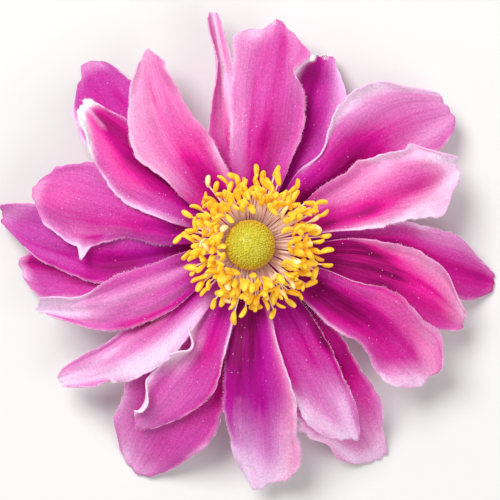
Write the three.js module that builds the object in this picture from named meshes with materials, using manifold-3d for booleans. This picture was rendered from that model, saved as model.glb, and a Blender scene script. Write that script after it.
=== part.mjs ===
// A Japanese anemone flower, picked and resting face up: a semi-double bloom of 21 tepals
// round a ring of yellow stamens and a ball of green carpels, on a short cut stalk.
// Millimetres, +Z up. The origin is on the surface, under the middle of the bloom.

import * as THREE from 'three';
import { mergeVertices } from 'three/addons/utils/BufferGeometryUtils.js';
import Module from 'manifold-3d';

const wasm = await Module();
wasm.setup();

// Driving sizes
const CLAW_HEIGHT = 6.5;         // lowest claw above the surface
const CLAW_RADIUS = 2.95;        // where a tepal leaves the receptacle
const CLAW_WIDTH = 1.7;          // a tepal at its narrow foot
const TEPAL_THICKNESS = 0.6;
const SEAT_GAP = 0.35;           // between a piece and what carries it
const STALK_RADIUS = 0.95;
const RECEPTACLE_RADIUS = CLAW_RADIUS - SEAT_GAP;
const NECK_RADIUS = 1.8;         // the receptacle inside the ring of stamens
const STAMEN_RING_RADIUS = 2.95;
const STAMEN_RING_HEIGHT = 1.1;
const STAMEN_COUNT = 84;
const FILAMENT_RADIUS = 0.2;
const ANTHER_LENGTH = 1.9;
const ANTHER_WIDTH = 0.95;
const CARPEL_BALL_RADIUS = 3.6;
const CARPEL_SEAT_RADIUS = 1.9;
const CARPEL_COUNT = 96;
const CARPEL_RELIEF = 0.24;

// How one tepal lies over those below it
const LAYER_PITCH = 1.05;        // between the middles of two tepals that touch
const DRAPE_SLOPE = 0.65;        // how steeply a tepal may leave the edge of one below it
const DRAPE_REACH = 0.25;        // how far round a point the tepals below are felt
const DRAPE_REACH_OUTWARD = 0.03;
const SOFTENING = 0.5;

// The tepals from the lowest to the topmost. Angles are in degrees from +X about the axis, and
// lengths in millimetres. "widest" is the place of the full width along the tepal, and "tip" the
// width of its end as a share of the full width. "swell" is how late the width grows from the
// claw, and "taper" how late it shrinks to the end. "round" is how far the corners of the end lie
// back, and "bow" how far the middle swings to the left of a straight line. "arch" is the rise of
// the middle above the claw, and "fall" that of the tip. "cup" raises both edges, "crease" folds
// the tepal along its middle, "roll" raises the left edge and lowers the right one, and the
// curls turn up the left and right margins.
const COLUMNS = [
  'number', 'angle', 'length', 'width', 'widest', 'tip', 'swell', 'taper', 'round', 'bow',
  'arch', 'fall', 'cup', 'crease', 'roll', 'curlLeft', 'curlRight',
];
const TEPALS = [
  [11, -117.0, 37.0, 14.4, 0.68, 0.52, 1.0, 2.2, 3.0, 0.5, 2.2, -6.5, 0.6, 0.6, 0.4, 0.0, 0.6],
  [8, -59.5, 36.4, 11.4, 0.66, 0.46, 1.0, 2.2, 2.4, -0.8, 2.0, -6.5, 0.5, 0.8, -0.5, 0.4, 0.0],
  [5, -8.0, 35.9, 10.0, 0.62, 0.42, 1.0, 2.0, 2.2, 1.5, 1.8, -6.5, 1.0, 0.6, 0.4, 0.3, 0.0],
  [2, 69.0, 29.3, 9.2, 0.62, 0.46, 1.0, 2.2, 1.8, -0.9, 1.6, -5.0, 1.6, 0.6, 0.0, 1.8, 0.6],
  [19, 132.5, 35.4, 12.4, 0.74, 0.52, 1.0, 2.2, 2.6, 1.8, 2.2, -6.5, 0.6, 0.4, 0.6, 0.3, 0.0],
  [15, 184.5, 33.2, 10.0, 0.62, 0.40, 1.0, 2.0, 2.0, 1.0, 1.8, -6.5, 0.8, 0.8, 0.0, 0.5, 0.0],
  [16, 173.6, 36.3, 10.8, 0.60, 0.38, 1.0, 2.2, 2.0, 2.6, 1.6, -4.2, 0.6, 0.9, -0.6, 0.4, 0.4],
  [9, -62.5, 31.8, 8.3, 0.68, 0.44, 1.0, 2.2, 1.8, -0.2, 1.8, -2.6, 0.7, 0.5, 0.0, 0.4, 0.4],
  [21, 97.6, 33.8, 5.4, 0.44, 0.36, 0.8, 0.9, 1.0, 0.6, 1.8, -2.4, 0.8, 0.8, 0.6, 0.4, 0.2],
  [6, -19.6, 33.2, 9.8, 0.62, 0.32, 1.1, 2.2, 2.0, 2.4, 1.8, -2.6, 0.8, 1.0, 0.8, 0.3, 0.2],
  [10, -87.0, 35.3, 11.0, 0.70, 0.40, 1.4, 2.2, 2.2, 0.1, 1.4, -2.8, 0.8, 0.4, 0.0, 1.6, 0.4],
  [3, 34.6, 35.7, 13.8, 0.70, 0.46, 1.3, 2.2, 3.0, 3.0, 2.0, -3.2, 0.8, 0.4, 0.6, 0.8, 0.8],
  [17, 165.8, 32.7, 12.4, 0.76, 0.36, 1.6, 2.2, 2.6, 0.0, 2.0, -1.6, 0.6, 0.8, -0.4, 0.6, 0.3],
  [12, -121.0, 30.8, 8.6, 0.70, 0.50, 1.3, 2.2, 2.0, 1.9, 1.8, -1.6, 0.8, 0.3, -0.4, 0.6, 1.4],
  [7, -37.6, 33.6, 10.2, 0.74, 0.50, 1.2, 2.4, 2.4, 2.3, 1.8, -1.0, 0.9, 0.5, 0.4, 0.6, 0.5],
  [1, 82.8, 32.5, 10.8, 0.62, 0.60, 0.85, 2.6, 2.8, 0.0, 1.8, 0.0, 0.6, 0.5, 0.0, 0.7, 0.7],
  [18, 140.5, 31.0, 9.4, 0.55, 0.38, 0.9, 2.0, 1.8, 1.8, 1.6, -0.6, 1.2, 0.9, 0.3, 0.8, 0.4],
  [13, -144.1, 33.9, 7.6, 0.60, 0.40, 0.85, 2.0, 1.4, 2.6, 1.8, -1.6, 0.6, 0.5, 0.5, 0.4, 0.3],
  [4, 20.5, 32.4, 11.8, 0.72, 0.36, 1.5, 2.0, 2.8, 1.2, 1.8, -0.4, 0.9, 0.8, 0.3, 0.7, 0.4],
  [20, 118.0, 31.7, 10.0, 0.50, 0.36, 0.85, 1.8, 2.0, 3.2, 1.6, 0.2, 0.9, 0.6, 0.0, 0.8, 0.6],
  [14, -163.4, 32.0, 7.8, 0.54, 0.34, 0.85, 1.5, 1.4, 2.7, 1.8, 0.0, 0.7, 1.1, -0.8, 0.5, 0.4],
].map((row) => Object.fromEntries(row.map((value, i) => [COLUMNS[i], value])));

// The waves of the margins: in and out as seen from above, and up and down
const EDGE_WAVE = 0.045;
const EDGE_RUFFLE = 0.35;
const WAVES_ALONG = 2.4;

// Where a tepal's grid has its lines, along it and across it
const ALONG = [0, 0.1, 0.22, 0.35, 0.48, 0.6, 0.71, 0.81, 0.9, 0.96, 1];
const ACROSS = [-1, -0.74, -0.38, 0, 0.38, 0.74, 1];

const COLOURS = {
  stem: '#7f8f4d',
  tepal: '#dc5fb0',
  stamens: '#f2b213',
  carpels: '#a9ad2c',
};

const smoothstep = THREE.MathUtils.smoothstep;

// A repeatable series of numbers from 0 to 1
function seeded(seed) {
  let state = seed;
  return () => {
    state = (state * 1664525 + 1013904223) % 4294967296;
    return state / 4294967296;
  };
}

// The greater of two heights, with the corner between them rounded off
function softMax(a, b) {
  const near = Math.max(0, SOFTENING - Math.abs(a - b));
  return Math.max(a, b) + (near * near) / (4 * SOFTENING);
}

function halfWidth(tepal, s) {
  const foot = CLAW_WIDTH / 2;
  const full = tepal.width / 2;
  if (s < tepal.widest) {
    return foot + (full - foot) * Math.sin((Math.PI / 2) * (s / tepal.widest)) ** tepal.swell;
  }
  const beyond = (s - tepal.widest) / (1 - tepal.widest);
  return full * (1 - (1 - tepal.tip) * beyond ** tepal.taper);
}

// From -1 to 1 along a margin, in another rhythm on each tepal and on its two sides
function marginWave(tepal, s, v) {
  return Math.sin(2 * Math.PI * (WAVES_ALONG * s + 0.37 * tepal.number) + 1.9 * v);
}

// A point of a tepal seen from above: s runs from claw to tip, and v from right to left edge
function planPoint(tepal, s, v) {
  const u = CLAW_RADIUS + (tepal.length - CLAW_RADIUS) * s - tepal.round * v * v * s ** 3;
  const wave = 1 + EDGE_WAVE * smoothstep(s, 0.15, 0.4) * marginWave(tepal, s, v);
  const t = tepal.bow * Math.sin(Math.PI * s ** 1.3) + v * halfWidth(tepal, s) * wave;
  const angle = THREE.MathUtils.degToRad(tepal.angle);
  return [
    u * Math.cos(angle) - t * Math.sin(angle),
    u * Math.sin(angle) + t * Math.cos(angle),
  ];
}

// The height of a tepal where nothing lies under it
function freeHeight(tepal, s, v) {
  const midline = (4 * tepal.arch - tepal.fall) * s + (2 * tepal.fall - 4 * tepal.arch) * s * s;
  const opening = smoothstep(s, 0, 0.35);
  const margin = smoothstep(s, 0.25, 0.6) * (1 - 0.5 * smoothstep(s, 0.85, 1));
  const left = Math.max(0, (v - 0.6) / 0.4);
  const right = Math.max(0, (-v - 0.6) / 0.4);
  return CLAW_HEIGHT + midline
    + opening * (tepal.cup * v * v + tepal.crease * (Math.sqrt(v * v + 0.02) - 0.14))
    + opening * tepal.roll * v
    + margin * EDGE_RUFFLE * v * v * marginWave(tepal, s + 0.15, -v)
    + margin * (tepal.curlLeft * left ** 1.5 + tepal.curlRight * right ** 1.5);
}

// How high a piece has to be at a place, to clear what lies below it
function clearHeight(below, x, y, pitch) {
  const reach = DRAPE_REACH + DRAPE_REACH_OUTWARD * Math.hypot(x, y);
  let height = TEPAL_THICKNESS / 2;
  for (const point of below) {
    const away = Math.max(0, Math.hypot(x - point[0], y - point[1]) - reach);
    height = Math.max(height, point[2] + pitch - DRAPE_SLOPE * away);
  }
  return height;
}

// The middle surface of a tepal, as rows of points from claw to tip
function layTepal(tepal, below) {
  return ALONG.map((s) => ACROSS.map((v) => {
    const [x, y] = planPoint(tepal, s, v);
    const height = softMax(freeHeight(tepal, s, v), clearHeight(below, x, y, LAYER_PITCH));
    return new THREE.Vector3(x, y, height);
  }));
}

// Points spread over a tepal's middle surface, for those above it to clear
function surfacePoints(rows, parts = 4) {
  const points = [];
  for (let i = 0; i < rows.length - 1; i += 1) {
    for (let j = 0; j < rows[0].length - 1; j += 1) {
      for (let a = 0; a <= parts; a += 1) {
        for (let b = 0; b <= parts; b += 1) {
          const near = rows[i][j].clone().lerp(rows[i + 1][j], a / parts);
          const far = rows[i][j + 1].clone().lerp(rows[i + 1][j + 1], a / parts);
          points.push(near.lerp(far, b / parts).toArray());
        }
      }
    }
  }
  return points;
}

// The direction square to a grid of points, at one of them
function gridNormal(rows, i, j) {
  const before = rows[Math.max(0, i - 1)][j];
  const after = rows[Math.min(rows.length - 1, i + 1)][j];
  const right = rows[i][Math.max(0, j - 1)];
  const left = rows[i][Math.min(rows[0].length - 1, j + 1)];
  return after.clone().sub(before).cross(left.clone().sub(right)).normalize();
}

// A closed blade of even thickness on a grid of points, its two faces split alike
function bladeGeometry(rows, thickness) {
  const across = rows[0].length;
  const count = rows.length * across;
  const positions = [];
  for (const side of [0.5, -0.5]) {
    rows.forEach((row, i) => row.forEach((point, j) => {
      const offset = gridNormal(rows, i, j).multiplyScalar(side * thickness);
      positions.push(...point.clone().add(offset).toArray());
    }));
  }
  const triangles = [];
  const quad = (a, b, c, d) => triangles.push(a, b, c, a, c, d);
  for (let i = 0; i < rows.length - 1; i += 1) {
    for (let j = 0; j < across - 1; j += 1) {
      const corner = i * across + j;
      quad(corner, corner + across, corner + across + 1, corner + 1);
      const under = corner + count;
      triangles.push(under, under + across + 1, under + across);
      triangles.push(under, under + 1, under + across + 1);
    }
    const right = i * across;
    const left = right + across - 1;
    quad(right, right + count, right + across + count, right + across);
    quad(left, left + across, left + across + count, left + count);
  }
  const end = (rows.length - 1) * across;
  for (let j = 0; j < across - 1; j += 1) {
    quad(j, j + 1, j + 1 + count, j + count);
    quad(end + j, end + j + count, end + j + 1 + count, end + j + 1);
  }
  const geometry = new THREE.BufferGeometry();
  geometry.setAttribute('position', new THREE.Float32BufferAttribute(positions, 3));
  geometry.setIndex(triangles);
  return geometry;
}

// A closed geometry as a solid that can be joined and cut
function toSolid(geometry) {
  const bare = geometry.clone();
  bare.deleteAttribute('normal');
  bare.deleteAttribute('uv');
  const merged = mergeVertices(bare, 1e-5);
  return new wasm.Manifold(new wasm.Mesh({
    numProp: 3,
    vertProperties: new Float32Array(merged.attributes.position.array),
    triVerts: new Uint32Array(merged.index.array),
  }));
}

function toGeometry(solid) {
  const { vertProperties, triVerts } = solid.getMesh();
  const geometry = new THREE.BufferGeometry();
  geometry.setAttribute('position', new THREE.BufferAttribute(vertProperties, 3));
  geometry.setIndex(new THREE.BufferAttribute(triVerts, 1));
  return geometry;
}

// A solid of revolution about the axis, from [radius, height] pairs, on end at the axis
function turned(profile, sides) {
  const points = profile.map(([radius, height]) => new THREE.Vector2(radius, height));
  return new THREE.LatheGeometry(points, sides).rotateX(Math.PI / 2);
}

function piece(name, geometry, colour, roughness) {
  const material = new THREE.MeshStandardMaterial({ color: colour, roughness, metalness: 0 });
  const mesh = new THREE.Mesh(geometry, material);
  mesh.name = name;
  return mesh;
}

// The cut stalk and the receptacle that it widens into, grown as one
function stem(ringFoot, seat) {
  const shoulder = CLAW_HEIGHT - TEPAL_THICKNESS / 2 - 0.2;
  const geometry = turned([
    [0, 0],
    [STALK_RADIUS, 0],
    [STALK_RADIUS, shoulder - 2.2],
    [STALK_RADIUS + 0.35, shoulder - 1.2],
    [RECEPTACLE_RADIUS - 0.3, shoulder - 0.25],
    [RECEPTACLE_RADIUS, shoulder],
    [RECEPTACLE_RADIUS, ringFoot - SEAT_GAP],
    [NECK_RADIUS, ringFoot - SEAT_GAP + 0.15],
    [NECK_RADIUS, seat],
    [0, seat],
  ], 20);
  return piece('stem', toGeometry(toSolid(geometry)), COLOURS.stem, 0.7);
}

// Places spread evenly over a sphere, from its top down
function evenDirections(count) {
  const golden = Math.PI * (3 - Math.sqrt(5));
  return Array.from({ length: count }, (_, i) => {
    const z = 1 - (2 * i + 1) / count;
    const r = Math.sqrt(1 - z * z);
    return new THREE.Vector3(r * Math.cos(golden * i), r * Math.sin(golden * i), z);
  });
}

// The ball of carpels: each carpel is a low bump, and its foot is flat on the receptacle
function carpelHead(seat) {
  const depth = Math.sqrt(CARPEL_BALL_RADIUS ** 2 - CARPEL_SEAT_RADIUS ** 2);
  const centre = seat + SEAT_GAP + depth;
  const places = evenDirections(CARPEL_COUNT);
  const spread = Math.sqrt((4 * Math.PI) / CARPEL_COUNT) / 2;
  const ball = new THREE.IcosahedronGeometry(1, 7);
  const position = ball.attributes.position;
  const direction = new THREE.Vector3();
  for (let i = 0; i < position.count; i += 1) {
    direction.fromBufferAttribute(position, i).normalize();
    const nearest = Math.min(...places.map((place) => place.angleTo(direction)));
    const bump = Math.max(0, 1 - (nearest / spread) ** 2);
    direction.multiplyScalar(CARPEL_BALL_RADIUS - CARPEL_RELIEF * (1 - bump));
    position.setXYZ(i, direction.x, direction.y, direction.z + centre);
  }
  const keep = new THREE.BoxGeometry(20, 20, 20).translate(0, 0, seat + SEAT_GAP + 10);
  const solid = toSolid(ball).intersect(toSolid(keep));
  return { mesh: piece('carpel_head', toGeometry(solid), COLOURS.carpels, 0.55), centre };
}

// The line of one filament from the ring to its anther, clear of tepals and carpels
function filamentCurve(start, bend, end, below, ballCentre) {
  const clearOfBall = CARPEL_BALL_RADIUS + 0.8;
  return new THREE.QuadraticBezierCurve3(...[start, bend, end].map((point, i) => {
    const moved = point.clone();
    if (i > 0) {
      const floor = clearHeight(below, moved.x, moved.y, TEPAL_THICKNESS + ANTHER_WIDTH / 2 + 0.2);
      moved.z = Math.max(moved.z, floor);
    }
    const out = Math.hypot(moved.x, moved.y);
    const level = moved.z - ballCentre;
    const needed = Math.sqrt(Math.max(0, clearOfBall ** 2 - level ** 2));
    if (i > 0 && out < needed) {
      moved.x *= needed / out;
      moved.y *= needed / out;
    }
    return moved;
  }));
}

// One stamen: a thin three-sided filament with a plump anther across its end
function stamen(curve, random) {
  const section = new THREE.Shape();
  for (let i = 0; i < 3; i += 1) {
    const turn = (i * 2 * Math.PI) / 3;
    const corner = [FILAMENT_RADIUS * Math.cos(turn), FILAMENT_RADIUS * Math.sin(turn)];
    if (i === 0) {
      section.moveTo(...corner);
    } else {
      section.lineTo(...corner);
    }
  }
  const filament = new THREE.ExtrudeGeometry(section, { steps: 2, extrudePath: curve });
  const end = curve.getPoint(1);
  const lengthwise = curve.getTangent(1);
  const sideways = new THREE.Vector3(random() - 0.5, random() - 0.5, (random() - 0.5) * 0.5);
  const along = lengthwise.add(sideways.multiplyScalar(1.4)).normalize();
  const turn = new THREE.Quaternion().setFromUnitVectors(new THREE.Vector3(0, 1, 0), along);
  const anther = new THREE.SphereGeometry(1, 4, 3)
    .scale(ANTHER_WIDTH / 2, ANTHER_LENGTH / 2, ANTHER_WIDTH / 2)
    .applyQuaternion(turn)
    .translate(end.x, end.y, end.z);
  return [toSolid(filament), toSolid(anther)];
}

// The ring of stamens, grown together at the foot: the inner ones stand, the outer ones spread
function stamens(ringFoot, below, ballCentre) {
  const random = seeded(7);
  const inner = NECK_RADIUS + SEAT_GAP;
  const top = ringFoot + STAMEN_RING_HEIGHT;
  const ring = turned([
    [inner, ringFoot], [STAMEN_RING_RADIUS, ringFoot], [STAMEN_RING_RADIUS, top - 0.3],
    [STAMEN_RING_RADIUS - 0.25, top], [inner, top], [inner, ringFoot],
  ], 24);
  const solids = [toSolid(ring)];
  const golden = Math.PI * (3 - Math.sqrt(5));
  for (let i = 0; i < STAMEN_COUNT; i += 1) {
    const share = (i + 0.5) / STAMEN_COUNT;
    const angle = golden * i + (random() - 0.5) * 0.12;
    const reach = 6.6 + 5.0 * share ** 1.1 + (random() - 0.5) * 1.2;
    const rise = 5.0 - 4.2 * share + (random() - 0.5) * 0.9;
    const around = (random() - 0.5) * 0.16;
    const at = (radius, turn, height) => new THREE.Vector3(
      radius * Math.cos(turn), radius * Math.sin(turn), height,
    );
    const start = at(inner + 0.6 - 0.25 * (i % 2), angle, ringFoot + 0.3 + 0.4 * (i % 2));
    const bend = at(3.2 + 0.3 * reach, angle, ringFoot + 0.7 + rise * 0.55);
    const end = at(reach, angle + around, ringFoot + 0.6 + rise);
    solids.push(...stamen(filamentCurve(start, bend, end, below, ballCentre), random));
  }
  return piece('stamens', toGeometry(wasm.Manifold.union(solids)), COLOURS.stamens, 0.6);
}

// The tepals are laid one on another, and the heart of the flower is set on top of their claws
function flower() {
  const bloom = new THREE.Group();
  const below = [];
  let crown = 0;
  for (const tepal of TEPALS) {
    const rows = layTepal(tepal, below);
    crown = Math.max(crown, ...rows[0].map((point) => point.z), ...rows[1].map((point) => point.z));
    below.push(...surfacePoints(rows));
    const name = `tepal_${String(tepal.number).padStart(2, '0')}`;
    const geometry = bladeGeometry(rows, TEPAL_THICKNESS);
    bloom.add(piece(name, geometry, COLOURS.tepal, 0.6));
  }
  const ringFoot = crown + TEPAL_THICKNESS / 2 + SEAT_GAP;
  const seat = ringFoot + STAMEN_RING_HEIGHT + 0.3;
  const head = carpelHead(seat);
  bloom.add(stem(ringFoot, seat));
  bloom.add(stamens(ringFoot, below, head.centre));
  bloom.add(head.mesh);
  return bloom;
}

const part = flower();
const box = new THREE.Box3().setFromObject(part);
const middle = box.getCenter(new THREE.Vector3());
part.position.set(-middle.x, -middle.y, 0);

export default part;
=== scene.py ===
"""A picked Japanese anemone bloom, resting face up: 21 tepals, a ring of stamens and a ball of carpels.

Lengths are millimetres from the flower's axis unless a name says otherwise.
"""

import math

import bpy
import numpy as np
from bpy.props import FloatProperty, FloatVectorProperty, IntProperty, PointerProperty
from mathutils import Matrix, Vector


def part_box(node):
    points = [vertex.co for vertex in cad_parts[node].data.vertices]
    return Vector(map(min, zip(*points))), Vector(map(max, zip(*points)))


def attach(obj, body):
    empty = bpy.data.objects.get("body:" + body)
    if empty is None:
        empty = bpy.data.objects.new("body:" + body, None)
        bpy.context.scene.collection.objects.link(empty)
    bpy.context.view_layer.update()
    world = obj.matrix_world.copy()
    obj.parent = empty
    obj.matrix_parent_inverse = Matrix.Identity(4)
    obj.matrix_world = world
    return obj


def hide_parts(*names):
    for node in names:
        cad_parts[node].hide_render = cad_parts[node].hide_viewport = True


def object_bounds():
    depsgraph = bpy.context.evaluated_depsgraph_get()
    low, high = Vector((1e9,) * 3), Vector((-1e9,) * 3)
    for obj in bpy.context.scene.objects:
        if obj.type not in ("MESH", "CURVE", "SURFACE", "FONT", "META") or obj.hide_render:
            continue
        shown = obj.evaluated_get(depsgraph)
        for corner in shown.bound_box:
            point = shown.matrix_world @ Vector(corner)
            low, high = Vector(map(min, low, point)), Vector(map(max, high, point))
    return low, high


bl_info = {
    "name": "Japanese Anemone Bloom",
    "version": (1, 0, 0),
    "blender": (4, 5, 0),
    "location": "View3D > Sidebar > Anemone",
    "description": "Dresses the frame of a semi-double anemone with petals, stamens and carpels",
    "category": "Add Mesh",
}

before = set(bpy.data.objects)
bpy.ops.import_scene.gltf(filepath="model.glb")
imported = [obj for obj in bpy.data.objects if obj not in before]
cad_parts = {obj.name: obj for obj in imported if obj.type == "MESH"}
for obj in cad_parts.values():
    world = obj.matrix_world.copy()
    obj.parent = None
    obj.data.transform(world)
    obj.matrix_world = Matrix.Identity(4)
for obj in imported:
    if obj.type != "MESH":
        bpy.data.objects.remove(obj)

MM = 0.001
CAD_BOX = [list(corner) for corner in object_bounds()]
STEM_LOW, STEM_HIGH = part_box("stem")
AXIS = (STEM_LOW + STEM_HIGH) / 2
FRAME_LOW, FRAME_HIGH = (
    np.array([corner[0] - AXIS.x, corner[1] - AXIS.y, corner[2]]) / MM for corner in CAD_BOX)
SEAT = STEM_HIGH.z / MM
RING_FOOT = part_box("stamens")[0].z / MM
BALL_LOW, BALL_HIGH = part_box("carpel_head")
BALL_RADIUS = (BALL_HIGH.x - BALL_LOW.x) / 2 / MM
BALL_CENTRE = BALL_HIGH.z / MM - BALL_RADIUS

# How the tepals of the frame were laid, in the frame's own sizes
CLAW_HEIGHT = 6.5
CLAW_RADIUS = 2.95
CLAW_WIDTH = 1.7
FRAME_THICKNESS = 0.6
LAYER_PITCH = 1.05
DRAPE_SLOPE = 0.65
DRAPE_REACH = 0.25
DRAPE_REACH_OUTWARD = 0.03
SOFTENING = 0.5
EDGE_WAVE = 0.045
EDGE_RUFFLE = 0.35
WAVES_ALONG = 2.4
ALONG = np.array([0, 0.1, 0.22, 0.35, 0.48, 0.6, 0.71, 0.81, 0.9, 0.96, 1])
ACROSS = np.array([-1, -0.74, -0.38, 0, 0.38, 0.74, 1])

# Each tepal's shape, from the lowest to the topmost, with the same meanings as in the frame
SHAPE_COLUMNS = (
    "number", "angle", "length", "width", "widest", "tip", "swell", "taper", "round", "bow",
    "arch", "fall", "cup", "crease", "roll", "curl_left", "curl_right",
)
SHAPES = (
    (11, -117.0, 37.0, 14.4, 0.68, 0.52, 1.0, 2.2, 3.0, 0.5, 2.2, -6.5, 0.6, 0.6, 0.4, 0.0, 0.6),
    (8, -59.5, 36.4, 11.4, 0.66, 0.46, 1.0, 2.2, 2.4, -0.8, 2.0, -6.5, 0.5, 0.8, -0.5, 0.4, 0.0),
    (5, -8.0, 35.9, 10.0, 0.62, 0.42, 1.0, 2.0, 2.2, 1.5, 1.8, -6.5, 1.0, 0.6, 0.4, 0.3, 0.0),
    (2, 69.0, 29.3, 9.2, 0.62, 0.46, 1.0, 2.2, 1.8, -0.9, 1.6, -5.0, 1.6, 0.6, 0.0, 1.8, 0.6),
    (19, 132.5, 35.4, 12.4, 0.74, 0.52, 1.0, 2.2, 2.6, 1.8, 2.2, -6.5, 0.6, 0.4, 0.6, 0.3, 0.0),
    (15, 184.5, 33.2, 10.0, 0.62, 0.40, 1.0, 2.0, 2.0, 1.0, 1.8, -6.5, 0.8, 0.8, 0.0, 0.5, 0.0),
    (16, 173.6, 36.3, 10.8, 0.60, 0.38, 1.0, 2.2, 2.0, 2.6, 1.6, -4.2, 0.6, 0.9, -0.6, 0.4, 0.4),
    (9, -62.5, 31.8, 8.3, 0.68, 0.44, 1.0, 2.2, 1.8, -0.2, 1.8, -2.6, 0.7, 0.5, 0.0, 0.4, 0.4),
    (21, 97.6, 33.8, 5.4, 0.44, 0.36, 0.8, 0.9, 1.0, 0.6, 1.8, -2.4, 0.8, 0.8, 0.6, 0.4, 0.2),
    (6, -19.6, 33.2, 9.8, 0.62, 0.32, 1.1, 2.2, 2.0, 2.4, 1.8, -2.6, 0.8, 1.0, 0.8, 0.3, 0.2),
    (10, -87.0, 35.3, 11.0, 0.70, 0.40, 1.4, 2.2, 2.2, 0.1, 1.4, -2.8, 0.8, 0.4, 0.0, 1.6, 0.4),
    (3, 34.6, 35.7, 13.8, 0.70, 0.46, 1.3, 2.2, 3.0, 3.0, 2.0, -3.2, 0.8, 0.4, 0.6, 0.8, 0.8),
    (17, 165.8, 32.7, 12.4, 0.76, 0.36, 1.6, 2.2, 2.6, 0.0, 2.0, -1.6, 0.6, 0.8, -0.4, 0.6, 0.3),
    (12, -121.0, 30.8, 8.6, 0.70, 0.50, 1.3, 2.2, 2.0, 1.9, 1.8, -1.6, 0.8, 0.3, -0.4, 0.6, 1.4),
    (7, -37.6, 33.6, 10.2, 0.74, 0.50, 1.2, 2.4, 2.4, 2.3, 1.8, -1.0, 0.9, 0.5, 0.4, 0.6, 0.5),
    (1, 82.8, 32.5, 10.8, 0.62, 0.60, 0.85, 2.6, 2.8, 0.0, 1.8, 0.0, 0.6, 0.5, 0.0, 0.7, 0.7),
    (18, 140.5, 31.0, 9.4, 0.55, 0.38, 0.9, 2.0, 1.8, 1.8, 1.6, -0.6, 1.2, 0.9, 0.3, 0.8, 0.4),
    (13, -144.1, 33.9, 7.6, 0.60, 0.40, 0.85, 2.0, 1.4, 2.6, 1.8, -1.6, 0.6, 0.5, 0.5, 0.4, 0.3),
    (4, 20.5, 32.4, 11.8, 0.72, 0.36, 1.5, 2.0, 2.8, 1.2, 1.8, -0.4, 0.9, 0.8, 0.3, 0.7, 0.4),
    (20, 118.0, 31.7, 10.0, 0.50, 0.36, 0.85, 1.8, 2.0, 3.2, 1.6, 0.2, 0.9, 0.6, 0.0, 0.8, 0.6),
    (14, -163.4, 32.0, 7.8, 0.54, 0.34, 0.85, 1.5, 1.4, 2.7, 1.8, 0.0, 0.7, 1.1, -0.8, 0.5, 0.4),
)

# Where a margin stands further out or in than its plain outline: the place along the tepal, the
# side (1 is left, -1 is right, seen outward), how far in millimetres, and how far along it goes
NUDGES = {
    1: ((0.97, 1, 2.4, 0.1), (0.82, 1, 0.6, 0.08), (0.81, -1, -1.9, 0.075), (0.94, -1, 1.1, 0.06)),
    2: ((0.86, 1, 0.8, 0.12), (0.88, -1, 1.5, 0.28)),
    3: ((0.4, 1, -2.8, 0.11), (0.85, 1, 0.5, 0.05), (0.96, 1, 0.3, 0.04)),
    4: ((0.48, 1, -0.9, 0.1), (0.62, 1, -1.0, 0.06), (0.74, 1, -1.55, 0.12), (0.855, 1, 0.65, 0.035),
        (0.9, -1, 1.5, 0.08)),
    5: ((0.95, -1, 1.1, 0.08), (0.87, 1, 0.5, 0.1)),
    6: ((0.86, 1, 0.9, 0.08),),
    7: ((0.42, 1, -0.5, 0.12), (0.9, 1, 1.2, 0.07), (0.97, 1, 0.7, 0.06), (0.62, -1, -0.9, 0.1)),
    8: ((0.98, -1, 1.5, 0.09), (0.79, -1, 0.9, 0.05), (0.93, 1, -0.5, 0.03)),
    9: ((0.85, -1, 0.8, 0.12), (0.97, -1, 0.4, 0.05), (0.7, 1, -1.0, 0.14)),
    10: ((0.77, -1, -1.2, 0.11), (0.87, 1, 0.6, 0.06), (0.97, 1, 2.0, 0.08)),
    11: ((0.89, -1, 0.8, 0.06), (0.97, 1, 0.5, 0.06)),
    12: ((0.505, -1, -2.7, 0.065), (0.9, -1, -0.7, 0.06)),
    13: ((0.72, -1, -0.8, 0.1), (0.84, 1, -0.8, 0.05)),
    14: ((0.8, -1, -0.9, 0.12),),
    15: ((0.95, 1, 2.3, 0.09), (0.8, 1, 0.6, 0.1)),
    16: ((0.76, 1, -0.8, 0.12),),
    17: ((0.5, 1, -1.5, 0.14), (0.86, -1, -0.5, 0.05), (0.97, 1, 1.0, 0.05), (0.98, -1, 1.0, 0.03)),
    19: ((0.97, 1, 1.6, 0.08), (0.9, -1, -1.2, 0.1)),
    20: ((0.36, 1, -0.9, 0.12), (0.92, -1, -0.6, 0.09), (0.95, 1, 1.0, 0.09), (0.8, 1, 0.5, 0.1),
         (0.55, 1, 0.3, 0.08)),
    21: ((0.78, 1, -1.1, 0.14), (0.4, 1, 0.6, 0.1)),
}

# Small flaps that stand out of a margin, with the same columns. They begin nearer to the margin.
FLAPS = {
    8: ((0.73, -1, 0.9, 0.02),),
    17: ((0.7, 1, 2.0, 0.022),),
}
NUDGE_SHARPNESS = 2
FLAP_SHARPNESS = 10

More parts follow.
